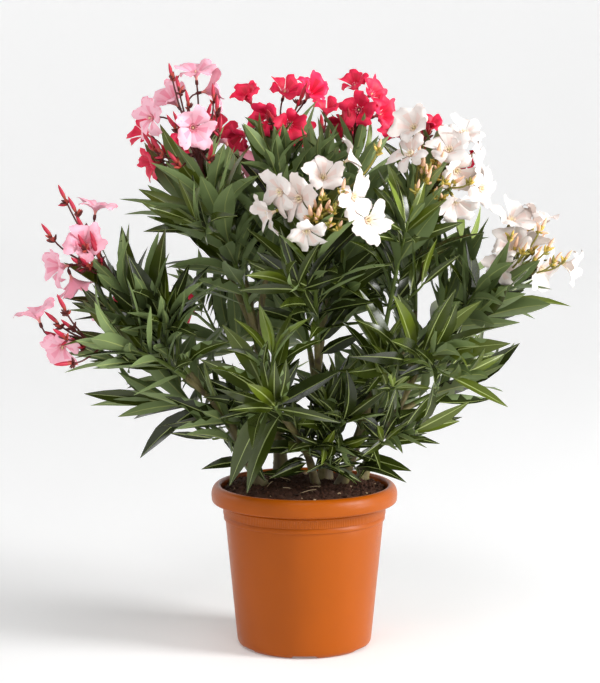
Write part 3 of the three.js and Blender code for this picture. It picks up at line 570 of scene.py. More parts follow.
def arc(centre, radii, start, end, steps):
    """Points of an elliptic arc in a profile, between two angles in degrees."""
    angle = np.radians(np.linspace(start, end, steps))
    return np.stack([centre[0] + radii[0] * np.cos(angle), centre[1] + radii[1] * np.sin(angle)], -1)


# ---------------------------------------------------------------------- growing limbs

def mix(first, second, share):
    """A value between two, by a share."""
    return first + (second - first) * share


def seeded(seed):
    """A repeatable stream of numbers from 0 to 1, by the mulberry32 rule."""
    whole = 0xFFFFFFFF
    state = seed & whole

    def draw():
        nonlocal state
        state = (state + 0x6D2B79F5) & whole
        t = ((state ^ (state >> 15)) * (state | 1)) & whole
        t ^= (t + ((t ^ (t >> 7)) * (t | 61) & whole)) & whole
        return ((t ^ (t >> 14)) & whole) / 4294967296

    return draw


class Limb:
    """A limb along a cubic curve between two headings, with a radius at each share."""

    def __init__(self, start, heading, end, arrival, radius):
        start, end = np.asarray(start, float), np.asarray(end, float)
        reach = BEND * np.linalg.norm(end - start)
        self.control = np.array([start, start + reach * unit(heading),
                                 end - reach * unit(arrival), end])
        self.radius = radius
        self.length = np.linalg.norm(np.diff(self.at(np.linspace(0, 1, 20)), axis=0), axis=1).sum()

    def at(self, t):
        """Points at shares t of the limb."""
        t = np.asarray(t, float)[..., None]
        a, b, c, d = self.control
        return a * (1 - t) ** 3 + 3 * b * t * (1 - t) ** 2 + 3 * c * t**2 * (1 - t) + d * t**3

    def along(self, t):
        """Headings at shares t of the limb."""
        t = np.asarray(t, float)[..., None]
        a, b, c, d = self.control
        return unit((b - a) * (1 - t) ** 2 + 2 * (c - b) * t * (1 - t) + (d - c) * t**2)


def square_to(along):
    """Two directions square to each other and to `along`."""
    first = unit(np.cross(np.where(np.abs(along[..., 2:]) < 0.9, UP, [1.0, 0, 0]), along))
    return first, np.cross(along, first)


def opened(along, azimuth, angle):
    """Directions opened from `along` by an angle, towards an azimuth round it."""
    azimuth, angle = np.asarray(azimuth)[..., None], np.asarray(angle)[..., None]
    return along * np.cos(angle) + np.sin(angle) * spun(*square_to(along), azimuth)


def grow_stems():
    """The stems, from the soil up to their forks."""
    stems = {}
    for name, (foot, lean, fork, heading, radii) in STEMS.items():
        stem = Limb((*foot, SOIL_HIGH.z / MM + STEM_GAP), lean, fork, heading, None)
        stem.radius = lambda t, r=radii, s=stem: (
            mix(*r, t) + FLARE[0] * np.exp(-np.asarray(t) * s.length / FLARE[1]))
        stems[name] = stem
    return stems


def grow_shoot(plan, stems):
    """A shoot's limb, from inside its stem to its leafy tip."""
    stem = stems[plan["stem"]]
    start, along = stem.at(plan["at"]), stem.along(plan["at"])
    leave = unit(along + LEAVING[1] * unit(plan["tip"] - start))
    base = stem.radius(plan["at"]) * LEAVING[0]
    return Limb(start, leave, plan["tip"], plan["heading"],
                lambda t: mix(base, TIP_RADIUS, np.asarray(t) ** TAPER))


def whorled_leaves(limb, span, whorls, size, droop, draw):
    """Leaves of a stretch of limb by the whorl rule: three to a whorl, each whorl turned by
    a sixth of a round, opening less and less towards the tip. The rule and its numbers are
    those of the solids."""
    leaves = []
    turn = draw() * 2 * np.pi
    for i in range(whorls):
        share = (i + 0.5) / whorls
        t = mix(*span, share)
        swell = math.sin(np.pi * min(1, share * 0.8 + 0.15))
        turn += np.radians(60) + (draw() - 0.5) * STRAY
        for k in range(3):
            azimuth = turn + k * np.radians(120) + (draw() - 0.5) * STRAY
            angle = mix(OPEN_OLD, OPEN_YOUNG, share**1.3) + (draw() - 0.5) * OPEN_STRAY
            reach = size * (0.82 + 0.3 * swell) * (0.86 + 0.24 * draw())
            leaves.append((*limb.at(t), *limb.along(t), azimuth, np.radians(angle), reach,
                           droop * (0.5 + draw()), limb.radius(t), share, 0))
    return leaves


class Plant:
    """Everything that grows, as rows of numbers, before any mesh is made."""

    def __init__(self, spacing, flower):
        self.stems = grow_stems()
        self.limbs, self.twigs, self.stalks = [], [], []
        self.leaves, self.flowers, self.buds = [], [], []
        for number, plan in enumerate(SHOOTS):
            limb = grow_shoot(plan, self.stems)
            self.limbs.append((plan, limb))
            self.grow_mass(number, plan, limb, spacing)
            if plan["head"]:
                self.grow_head(number, plan, flower)
        names = [plan["name"] for plan in SHOOTS]
        for seed, (name, t, heading, reach, leaf) in enumerate(TWIGS):
            number = names.index(name)
            limb = self.limbs[number][1]
            self.grow_twig(number, limb, t, unit(heading), reach, leaf, seeded(TWIG_SEED + seed))
        limbs = {**self.stems, **{plan["name"]: limb for plan, limb in self.limbs}}
        for name, t, end, droop in SINGLES:
            foot = limbs[name].at(t)
            number = names.index(name if name in names else BACKGROUND)
            self.leaves.append((number, *foot, *unit(end - foot), 0, 0, np.linalg.norm(end - foot),
                                droop, limbs[name].radius(t), 0.5, 1))
        for seed, (stem, whorls, size) in enumerate(GROWTH):
            self.add_leaves(names.index(BACKGROUND), self.stems[stem], GROWTH_SPAN, whorls, size,
                            GROWTH_DROOP, seeded(GROWTH_SEED + seed))

    def add_leaves(self, number, *rule):
        """Adds leaves by the whorl rule to the shoot of a number."""
        self.leaves += [(number, *row) for row in whorled_leaves(*rule)]

    def add_stalk(self, number, kind, *course):
        """Adds a stalk of a kind to the shoot of a number, and returns it."""
        limb = Limb(*course, lambda t: mix(*STALKS[kind], t))
        self.stalks.append((number, limb))
        return limb

    def of_tint(self, rows, tint):
        """The flowers or buds of one tint, as an array."""
        return np.array([row for row in rows if SHOOTS[row[SHOOT]]["head"]["tint"] == tint])

    def grow_mass(self, number, plan, limb, spacing):
        """The leaves of a shoot, and of the finer twigs that it carries."""
        draw = seeded(plan["seed"])
        start = plan["bare"]
        whorls = max(4, round(limb.length * (1 - start) / spacing))
        self.add_leaves(number, limb, (start + 0.02, 0.99), whorls, plan["leaf"], plan["droop"], draw)
        for _ in range(plan["twigs"]):
            t = mix(start, 1, 0.15 + 0.55 * draw())
            along = opened(limb.along(t), draw() * 2 * np.pi, np.radians(TWIG_OPEN))
            reach = plan["leaf"] * (0.4 + 0.3 * draw())
            self.grow_twig(number, limb, t, along, reach, plan["leaf"] * TWIG_LEAF, draw)

    def grow_twig(self, number, limb, t, along, reach, leaf, draw):
        """A side twig, bent up towards its end, with its own whorls of leaves."""
        foot = limb.at(t)
        twig = Limb(foot, along, foot + along * reach, along + 0.5 * UP,
                    lambda s: mix(*TWIG_RADII, s))
        self.twigs.append(twig)
        self.add_leaves(number, twig, (0.3, 0.98), TWIG_WHORLS, leaf, TWIG_DROOP, draw)

    def grow_head(self, number, plan, flower):
        """A head of blossom: its axis, flowers on their stalks, and buds between them."""
        draw = seeded(plan["seed"] + HEAD_SEED)
        head, tip = plan["head"], plan["tip"]
        tint = TINTS[head["tint"]]
        centre = head["flowers"].mean(0)
        axis = self.add_stalk(number, "axis", tip, plan["heading"], tip + centre * 0.5, centre)
        for i, place in enumerate(head["flowers"]):
            stray = np.array([draw(), draw(), draw()]) - 0.5
            look = tint["looks"][i % 3] * head["look"]
            facing = unit(look + OUTWARD * unit(place - centre) + CHANCE * stray)
            reach = flower * tint["spread"] * (0.94 + 0.18 * draw())
            self.flowers.append((number, *(tip + place), *facing, reach,
                                 draw() * 2 * np.pi, draw(), draw()))
            foot = mix(0.2, 0.96, i / len(head["flowers"]))
            neck = tip + place - TUBE * facing
            leave = unit(axis.along(foot) + unit(neck - axis.at(foot)))
            self.add_stalk(number, "flower", axis.at(foot), leave, neck, facing)
        for i, place in enumerate(head["sprigs"]):
            foot = mix(0.1, 0.9, i / len(head["sprigs"]))
            end = tip + place
            leave = unit(axis.along(foot) + unit(end - axis.at(foot)))
            along = unit(leave + 0.5 * UP)
            self.add_stalk(number, "sprig", axis.at(foot), leave, end, along)
            self.grow_buds(number, end, along, draw, tint["sprig"])
        sprays = head["buds"] + 2
        for i in range(sprays):
            foot = mix(0.15, 1, (i + 1) / sprays)
            along = opened(axis.along(foot), draw() * 2 * np.pi, np.radians(16 + 44 * draw()))
            along = unit(along + 0.6 * head["look"])
            end = axis.at(foot) + along * (18 + 26 * draw())
            self.add_stalk(number, "spray", axis.at(foot), along, end, along + 0.4 * UP)
            self.grow_buds(number, end, unit(along + 0.4 * UP), draw)

    def grow_buds(self, number, place, along, draw, full=1.0):
        """One full bud and a cluster of small ones, at the end of a stalk."""
        self.buds.append((number, *place, *along, full * (1.1 - 0.55 * draw()), draw() * np.pi))
        for _ in range(SMALL_BUDS):
            side = opened(along, draw() * 2 * np.pi, np.radians(20 + 50 * draw()))
            foot = place - along * 5 * draw()
            self.buds.append((number, *foot, *side, 0.2 + 0.25 * draw(), draw() * np.pi))


def plant_of(context):
    """The grown plant for the present settings."""
    settings = context.scene
    return Plant(settings.oleander_leaves.spacing / MM, settings.oleander_blossom.radius / MM)


def calyx_of(settings, tint):
    """The colour of a tint's stalks and calyces."""
    return getattr(settings, "stalk_" + tint["stalk"])


# ------------------------------------------------------------------------------ pieces

class OLEANDER_OT_pot(bpy.types.Operator):
    """Build the nursery pot: a turned wall with a rolled rim, a collar and a notched foot"""

    bl_idname = "oleander.pot"
    bl_label = "Pot"

    COLLAR, COLLAR_BOTTOM, STEP = 91.8, 146, 2.3
    ROLL, LIP, CORNER, FLOOR = 20, 94.3, 8, 6
    CHANNELS, CHANNEL_WIDTH, CHANNEL_DEPTH, CHANNEL_START = 6, 25, 3.5, 26
    HOLE, HOLE_RING = 5, 47
    BAND = (5, 14)  # heights of the ribs above the collar's foot
    RIBS = 260
    SIDES = 288
    UNDER, BENT = 44, 10  # points of the profile on the underside and round its corner

    def profile(self, pot):
        """Radii and heights from the middle of the underside, up the outside, over the
        rolled rim and down inside to the middle of the floor."""
        height, rim, base, wall = (v / MM for v in (pot.height, pot.rim, pot.base, pot.wall))
        roll = height - self.ROLL
        body = lambda z: mix(base, self.COLLAR - self.STEP, z / self.COLLAR_BOTTOM)
        step = self.COLLAR_BOTTOM - self.STEP
        parts = [
            np.stack([np.linspace(0.5, base - self.CORNER, self.UNDER), np.zeros(self.UNDER)], -1),
            arc((base - self.CORNER + 0.6, self.CORNER), (self.CORNER,) * 2, -88, -6, self.BENT),
            np.stack([body(np.linspace(12, step, 12)), np.linspace(12, step, 12)], -1),
            [(self.COLLAR - 2.6, step + 0.5), (self.COLLAR - 0.9, step + 1.0),
             (self.COLLAR - 0.7, step + 1.9), (self.COLLAR - 0.7, step + 6.1),
             (self.COLLAR - 1.5, step + 6.5), (self.COLLAR - 0.1, step + 7.2),
             (self.COLLAR, step + 8.0)],
            [(self.COLLAR + 0.2, roll - 4.6), (self.COLLAR + 1.5, roll - 4.1),
             (self.COLLAR + 1.6, roll - 3.1), (self.COLLAR + 0.4, roll - 2.4),
             (self.COLLAR + 0.8, roll - 0.8), (rim - 3.8, roll + 0.2)],
            arc((rim - 3.6, roll + 3.6), (3.2, 3.4), -80, -5, 6),
            arc((rim - 7.4, height - 11.5), (7.4, 11.5), 0, 90, 12),
            arc((self.LIP + 2.6, height - 3), (2.6, 3), 90, 180, 6),
            [(self.LIP - 0.8, height - 9), (self.COLLAR - wall, roll - 2),
             (body(self.COLLAR_BOTTOM) - wall, self.COLLAR_BOTTOM),
             (body(self.FLOOR) - wall, self.FLOOR), (0.5, self.FLOOR)],
        ]
        return np.concatenate([np.asarray(part, float) for part in parts])

    def drained(self, points):
        """Lifts the underside into six flat channels with a dent for each drain hole."""
        turn = np.arctan2(points[..., 1], points[..., 0]) + np.pi / 2
        sector = 2 * np.pi / self.CHANNELS
        turn = (turn + sector / 2) % sector - sector / 2
        reach = np.hypot(points[..., 0], points[..., 1])
        aside, ahead = np.abs(reach * np.sin(turn)), reach * np.cos(turn)
        slope = (self.CHANNEL_WIDTH / 2 + 2 - aside) / 2 * self.CHANNEL_DEPTH
        lift = np.where(ahead > self.CHANNEL_START, np.clip(slope, 0, self.CHANNEL_DEPTH), 0)
        hole = np.clip(self.HOLE + 0.5 - np.hypot(aside, ahead - self.HOLE_RING), 0, 1)
        lift = np.maximum(lift, hole * (self.FLOOR - 0.5))
        under = self.UNDER + self.BENT
        points[:under, :, 2] = np.maximum(points[..., 2], lift)[:under]
        return points

    def execute(self, context):
        pot = context.scene.oleander_pot
        radii, heights = self.profile(pot).T
        points = self.drained(turned_points(radii, heights, self.SIDES))
        shape = Shape()
        shape.add(points.reshape(1, -1, 3), tube_form(len(radii), self.SIDES))
        shape.piece("pot_shell", [self.plastic(pot)], "pot", ["pot"])
        return {"FINISHED"}

    def plastic(self, pot):
        """Moulded plastic: cloudy colour, satin sheen, fine grain, ribs on the collar."""
        finish = Finish("Terracotta plastic", pot.plastic, 0.3, Specular_IOR_Level=0.2)
        cloud = finish.noise(0.05, 1, 1, 0.5)
        finish.put("Base Color", finish.blend(
            cloud, shade(pot.plastic, 0.84), shade(pot.plastic, 1.1)))
        finish.put("Roughness", 0.26 + 0.14 * finish.noise(0.012))
        x, y, z = (Signal(finish, s) for s in finish.node(
            "ShaderNodeSeparateXYZ", None, Vector=finish.place()).outputs)
        low, high = ((self.COLLAR_BOTTOM + height) * MM for height in self.BAND)
        band = (z > low) * (z < high)
        ribs = x.math("SINE", y.math("ARCTAN2", y, x) * self.RIBS)
        finish.bump(ribs * band * 0.35 + finish.noise(0.0006) * 0.3, 0.0004)
        return finish


class OLEANDER_OT_soil(bpy.types.Operator):
    """Fill the pot with a mound of coarse soil, crumbs, grit and dry straw"""

    bl_idname = "oleander.soil"
    bl_label = "Soil"

    EDGE, TOP, REACH, BOTTOM = 179.0, 184.0, 91.6, 150
    FLAT = 60  # radius of the dome's level middle
    WAVES = ((46, 0.9), (19, 0.8), (9, 0.7), (4.6, 0.55), (2.6, 0.4))  # length, height
    SIDES, RINGS = 240, 76
    CRUMBS, GRAINS, STRAWS = 1500, 46, 9

    def surface(self, x, y):
        """Height of the soil: a low dome, broken up by sums of crossing waves."""
        reach = np.hypot(x, y)
        slope = np.clip((reach - self.FLAT) / (self.REACH - self.FLAT), 0, 1)
        dome = mix(self.TOP, self.EDGE, slope**1.6)
        waves = np.random.default_rng(7)
        rough = 0
        for size, height in self.WAVES:
            for _ in range(4):
                angle, phase = waves.uniform(0, 2 * np.pi, 2)
                rough = rough + height / 2 * np.sin(
                    2 * np.pi * (x * np.cos(angle) + y * np.sin(angle)) / size + phase)
        return dome + rough - 0.8

    def mound(self):
        """The mound's rings: the bottom, up the wall, then inwards over the top."""
        low = turned_points([0.4, 84, 86], self.BOTTOM + np.array([0, 0, 1]), self.SIDES)
        radii = np.append(np.linspace(self.REACH, 1, self.RINGS), 0.4)
        top = turned_points(radii, 0 * radii, self.SIDES)
        top[..., 2] = self.surface(top[..., 0], top[..., 1])
        return np.concatenate([low, top])

    def execute(self, context):
        pot = context.scene.oleander_pot
        points = self.mound()
        shape = Shape()
        shape.add(points.reshape(1, -1, 3), tube_form(len(points), self.SIDES))
        shape.piece("soil_mound", [self.earth("Potting soil", pot.soil, pot.crumb)], "soil",
                    ["soil"])
        self.scatter(pot)
        return {"FINISHED"}

    def scatter(self, pot):
        """Crumbs and grit are dented blocks; straw is thin bent stalks."""
        dice = np.random.default_rng(11)
        count = self.CRUMBS + self.GRAINS
        reach = 90 * np.sqrt(dice.uniform(0, 1, count))
        angle = dice.uniform(0, 2 * np.pi, count)
        x, y = reach * np.cos(angle), reach * np.sin(angle)
        size = dice.uniform(0.7, 1.9, count) * np.where(dice.uniform(size=count) > 0.94, 1.7, 1)
        centre = np.stack([x, y, self.surface(x, y) + 0.2 * size], -1)
        ball = turned_points([0.35, 0.9, 1.0, 0.4], [-0.8, -0.35, 0.4, 0.85], 6).reshape(-1, 3)
        dents = dice.uniform(0.65, 1.3, (count, len(ball), 1))
        stretch = dice.uniform(0.6, 1.4, (count, 1, 3)) * [1, 1, 0.7]
        points = centre[:, None] + ball * dents * stretch * size[:, None, None]
        shape = Shape()
        tone = dice.integers(0, 3, count)
        tone[self.CRUMBS:] = 3
        shape.add(points, tube_form(4, 6), tone[:, None])
        straw = []
        bow = UP * np.sin(np.linspace(0, np.pi, 5))[:, None]
        for _ in range(self.STRAWS):
            place, turn = dice.uniform(-62, 62, 2), dice.uniform(0, 2 * np.pi)
            far = place + dice.uniform(9, 22) * np.array([np.cos(turn), np.sin(turn)])
            ends = [(*spot, self.surface(*spot) + rise) for spot, rise in ((place, 0.6), (far, 2.4))]
            straw.append(np.linspace(*ends, len(bow)) + bow)
        shape.add(tube_points(np.array(straw), np.full((1, 1, 6), 0.4), 6), tube_form(len(bow), 6), 3)
        finishes = [self.earth("Soil crumb " + word, shade(pot.crumb, share), pot.soil)
                    for word, share in (("dark", 0.35), ("brown", 0.6), ("light", 1.0))]
        finishes.append(Finish("Grit and straw", pot.grit, 0.8))
        shape.piece("soil_crumbs", finishes, "soil", smooth=False)

    def earth(self, name, base, second):
        """Moist earth: dark and light grains in patches, with a rough relief."""
        finish = Finish(name, base, 0.9, Specular_IOR_Level=0.25)
        grain = finish.noise(0.004, detail=8, roughness=0.7)
        finish.put("Base Color", finish.blend(grain, shade(base, 0.5), mix(
            np.array(base[:3]), np.array(second[:3]), 0.6)))
        finish.bump(grain + 0.5 * finish.noise(0.0012), 0.0012)
        return finish


class OLEANDER_OT_stems(bpy.types.Operator):
    """Grow the stems and boughs, with bark relief and leaf scars in rings"""

    bl_idname = "oleander.stems"
    bl_label = "Stems and boughs"

    STATIONS, SIDES = 90, 20
    SCAR_SPACING, SCAR_WIDTH = 16, 1.3
    FULL = 6  # radius of a limb that has the full relief

    def bark_tube(self, limb, span, seed, stations):
        """Points of a limb with relief: swollen scar rings in threes, ridges along the limb
        and slow dents."""
        t = np.linspace(*span, stations)
        along = (t * limb.length)[:, None]
        turn = rounds(self.SIDES)
        phases = np.random.default_rng(seed).uniform(0, 2 * np.pi, 6)
        ring = (along + 3 * np.sin(along / 37 + phases[0])) / self.SCAR_SPACING
        near = np.exp(-(((ring + 0.5) % 1 - 0.5) * self.SCAR_SPACING / self.SCAR_WIDTH) ** 2)
        lobes = 0.55 + 0.45 * np.cos(3 * turn + np.pi * np.floor(ring + 0.5))
        ridges = (np.sin(5 * turn + along / 21 + phases[1])
                  + 0.6 * np.sin(9 * turn - along / 13 + phases[2]))
        dents = np.sin(along / 7 + phases[3] + 2 * turn) + np.sin(along / 3.1 + phases[4] - turn)
        radius = limb.radius(t)[:, None]
        relief = radius / self.FULL * (0.62 * near * lobes + 0.16 * ridges + 0.13 * dents)
        return tube_points(limb.at(t)[None], (radius + relief)[None], self.SIDES)

    def execute(self, context):
        wood = context.scene.oleander_wood
        plant = plant_of(context)
        stems = [(stem, (-0.02, 1.0), seed) for seed, stem in enumerate(plant.stems.values())]
        boughs = [(limb, (0, plan["bare"] + 0.02), plan["seed"])
                  for plan, limb in plant.limbs if plan["bare"]]
        for word, limbs, stations, age in (("stem", stems, self.STATIONS, 0.75),
                                           ("bough", boughs, self.STATIONS // 2, 0.35)):
            shape = Shape()
            for limb, span, seed in limbs:
                shape.add(self.bark_tube(limb, span, seed, stations), tube_form(stations, self.SIDES))
            shape.piece(word + "s_bark", [self.bark(word.capitalize() + " bark", wood, age)], "bark",
                        [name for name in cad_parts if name.startswith(word + "_")])
        return {"FINISHED"}

    def bark(self, name, wood, age):
        """Young bark: green-brown, greyer where it is old, with pale specks and streaks."""
        finish = Finish(name, wood.bark, 0.62)
        streak = finish.noise(0.009, 1, 1, 0.22)
        ramp = finish.node("ShaderNodeValToRGB", {"stops": [
            (0.35, shade(wood.old_bark, 0.8)), (0.35 + 0.35 * age, wood.bark), (0.85, wood.scar)]},
            Fac=streak).outputs[0]
        finish.put("Base Color", ramp)
        finish.bump(finish.noise(0.0011, 1, 1, 0.4), 0.0005)
        return finish


class OLEANDER_OT_twigs(bpy.types.Operator):
    """Grow the green leafy ends of the shoots and their finer twigs"""

    bl_idname = "oleander.twigs"
    bl_label = "Leafy twigs"

    STATIONS = 16

    def execute(self, context):
        wood = context.scene.oleander_wood
        plant = plant_of(context)
        shape = Shape()
        axes = [(limb, np.linspace(plan["bare"], 1, self.STATIONS)) for plan, limb in plant.limbs]
        shape.add_limbs(axes + [(twig, np.linspace(0, 1, self.STATIONS)) for twig in plant.twigs])
        finish = Finish("Green twig", wood.twig, 0.5)
        finish.put("Base Color", finish.blend(
            finish.noise(0.02), shade(wood.twig, 0.75), shade(wood.twig, 1.2)))
        shape.piece("leafy_twigs", [finish], "foliage",
                    [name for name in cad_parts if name.startswith("mass_")])
        return {"FINISHED"}


class OLEANDER_OT_leaves(bpy.types.Operator):
    """Set out the leaves: narrow folded blades with a pale midrib, in whorls of three"""

    bl_idname = "oleander.leaves"
    bl_label = "Leaves"

    STATIONS = np.array([0, 0.08, 0.22, 0.4, 0.6, 0.78, 0.92, 1.0])
    RIB = 0.85  # half width of the midrib at the leaf's foot
    # Turns and openings in degrees that a leaf tries in this order until it is clear.
    TRIES = np.array([(0, 0), (14, 0), (-14, 0), (0, -12), (0, 14), (26, -8), (-26, -8)], float)
    CHECKED = np.array([0.2, 0.35, 0.5, 0.65, 0.8, 0.95])  # shares of a leaf that are kept clear
    CLEAR = 1.0  # air left between a leaf and a limb
    NEAR = 14  # round a leaf's foot no limb counts as in its way
    HANGING = 0.11  # droop from which a leaf may hang past the rim
    RIM_WIDTH, AIR = 18, 7  # inside the rim a leaf may come as near to the soil as the air
    BATCH = 150
    STEADY = 0.45  # how far leaves below their foot rise, and faces look up
    OUTER, FRONT = 0.7, 1.5  # how far faces look outwards, and single leaves to the front
    SUNK = 0.6  # depth of a leaf's foot in its limb
    BROADER, CALMER = 0.25, 0.8  # a single leaf's further width, and how much less it twists
    TURNED = 0.88  # share of leaves that don't show their underside
    SECTORS = ("left", "middle", "right", "back")
    LEFT, RIGHT, BACK = -60, 80, 100  # where the sectors meet, by the tips of shoots

    def execute(self, context):
        settings = context.scene.oleander_leaves
        plant = plant_of(context)
        rows = self.settle(np.array(plant.leaves), self.obstacles(plant))
        tips = np.array([plan["tip"] for plan in SHOOTS])[rows[:, SHOOT].astype(int)]
        x, y, _ = tips.T
        sector = np.select([y > self.BACK, x < self.LEFT, x > self.RIGHT], [3, 0, 2], 1)
        finishes = [Finish(name, tone, roughness) for name, tone, roughness in (
            ("Deep leaf", settings.deep, 0.26), ("Middle leaf", settings.middle, 0.26),
            ("Fresh leaf", settings.fresh, 0.28), ("Young leaf", settings.young, 0.34),
            ("Leaf midrib", settings.rib, 0.45), ("Leaf underside", settings.under, 0.55))]
        for number, word in enumerate(self.SECTORS):
            shape = Shape()
            self.blades(shape, rows[sector == number], settings, number)
            shape.piece("leaves_" + word, finishes, "foliage")
        return {"FINISHED"}

    def obstacles(self, plant):
        """Points and radii that a leaf keeps clear of: limbs, and the flowers' hearts."""
        flowers = np.array(plant.flowers)
        points, radii = [flowers[:, PLACE]], [flowers[:, SIZE] * 0.5]
        for limb in [*plant.stems.values(), *(limb for _, limb in plant.limbs + plant.stalks),
                     *plant.twigs]:
            t = np.linspace(0, 1, max(6, int(limb.length / 5)))
            points.append(limb.at(t))
            radii.append(limb.radius(t))
        return np.concatenate(points), np.concatenate(radii)

    def frame_of(self, rows, turn=0, open_more=0):
        """Foot, direction, side and face of each leaf, turned and opened a little more.

        A leaf of a whorl lifts itself up, the more so where it points down. A single leaf
        keeps its direction and faces the front.
        """
        point, axis, single = rows[:, PLACE], rows[:, AXIS], rows[:, SINGLE:]
        away = opened(axis, rows[:, AZIMUTH] + turn, rows[:, OPENING] + open_more)
        lift = LEAF_LIFT + self.STEADY * np.clip(-away[:, 2:], 0, 1)
        along = unit(away + (1 - single) * lift * UP)
        outward = unit(point * [1, 1, 0] + 1e-6) - single * [0, self.FRONT, 0]
        side = unit(np.cross(along, axis + self.STEADY * UP + self.OUTER * outward))
        foot = point + along * (rows[:, GIRTH, None] - self.SUNK)
        return foot, along, side, np.cross(side, along)

    def settle(self, rows, obstacles):
        """Turns each leaf until it clears limbs, flowers, the pot, the soil and the open
        gaps, or drops it."""
        points, radii = obstacles
        rim, top = POT_HIGH.x / MM + 2, POT_HIGH.z / MM + 2
        shares = self.CHECKED[:, None]
        turned = np.full(len(rows), -1)
        for number, (turn, open_more) in enumerate(np.radians(self.TRIES)):
            waiting = np.flatnonzero(turned < 0)
            for part in np.array_split(waiting, max(1, len(waiting) // self.BATCH)):
                foot, along, _, _ = self.frame_of(rows[part], turn, open_more)
                reach, droop = rows[part, REACH, None, None], rows[part, DROOP, None, None]
                spots = foot[:, None] + along[:, None] * reach * shares
                spots -= UP * droop * reach * shares**2
                gap = np.linalg.norm(spots[:, :, None] - points, axis=-1) - radii
                near = np.linalg.norm(points - rows[part, None, PLACE], axis=-1) < self.NEAR
                gap = np.where(near[:, None], 99, gap).min((1, 2))
                wide = np.hypot(spots[..., 0], spots[..., 1])
                floor = np.where(wide < rim - self.RIM_WIDTH, SOIL_HIGH.z / MM + self.AIR, top)
                hangs = droop[..., 0] > self.HANGING
                inside = ((spots[..., 2] < floor) & ((wide < rim) | ~hangs)).any(1)
                share = EYE[1] / (EYE[1] - spots[..., 1:2])
                seen = (EYE + (spots - EYE) * share)[..., None, [0, 2]]
                blocks = ((((seen - GAPS[:, :2]) / GAPS[:, 2:]) ** 2).sum(-1) < 1).any((1, 2))
                turned[part[(gap > self.CLEAR) & ~inside & ~blocks]] = number
        kept = turned >= 0
        rows = rows[kept]
        rows[:, [AZIMUTH, OPENING]] += np.radians(self.TRIES)[turned[kept]]
        return rows

    def blades(self, shape, rows, settings, seed):
        """Blade surfaces over share s along a leaf and place u across it.

        The middle line sags along a parabola, arches and sways aside. The width follows a
        sine, thin at the foot and drawn to a point. Both halves rise straight from the
        midrib, and the whole blade twists a little about its line. A single leaf is wider
        and twists less.
        """
        dice = np.random.default_rng(LEAF_SEED + seed)
        one = (len(rows), 1, 1)
        foot, along, side, over = (v[:, None, None] for v in self.frame_of(rows))
        s = self.STATIONS[:, None]
        reach, droop, single = (rows[:, column, None, None] for column in (REACH, DROOP, SINGLE))
        half = reach * settings.width / 2 * dice.uniform(0.72, 1.14, one) * (1 + self.BROADER * single)
        stalk = 0.12 + 0.88 * np.clip(s / 0.14, 0, 1) ** 1.5
        wide = half * (np.sin(np.pi * s**0.92) * stalk + 0.02)
        rib = np.minimum(self.RIB * (1.12 - s), 0.3 * wide)
        across = np.concatenate([-wide, -rib, rib, wide], -1)
        rise = dice.uniform(0.18, 0.64, one) * np.abs(across)
        turned = 1.5 * (dice.uniform(size=one) > self.TURNED)
        twist = (dice.normal(0, 0.28, one) + turned) * (1 - self.CALMER * single) * s
        lateral = across * np.cos(twist) - rise * np.sin(twist)
        upward = across * np.sin(twist) + rise * np.cos(twist)
        sway = dice.normal(0, 0.06, one) * reach * s**2
        arch = dice.normal(0.03, 0.05, one) * reach * np.sin(np.pi * s)
        sag = droop * reach * s**2
        line = foot + along * (reach * s)[..., None] - UP * sag[..., None]
        front = line + side * (lateral + sway)[..., None] + over * (upward + arch)[..., None]
        faces, behind, folds = sheet_form(len(s), 4)
        ribbed = np.arange(len(faces)) % 3 == 1
        tone = np.where(ribbed, 4, np.where(behind, 5, self.tones(rows, dice)[:, None]))
        shape.add(sheet_points(front, unit(over + 0 * front), settings.thickness / MM), faces,
                  tone, folds)

    def tones(self, rows, dice):
        """Greens dealt out by spray: each shoot has its own, and young leaves are fresher."""
        spray = (rows[:, SHOOT] * 7 % 5) / 5
        youth = rows[:, SHARE] ** 2
        low = np.clip((340 - rows[:, 3]) / 120, 0, 1)  # leaves near the pot are deeper
        score = 0.8 * spray + 1.1 * youth - 0.8 * low + dice.uniform(-0.2, 1.1, len(rows))
        return np.digitize(score, [0.75, 1.4, 2.15])


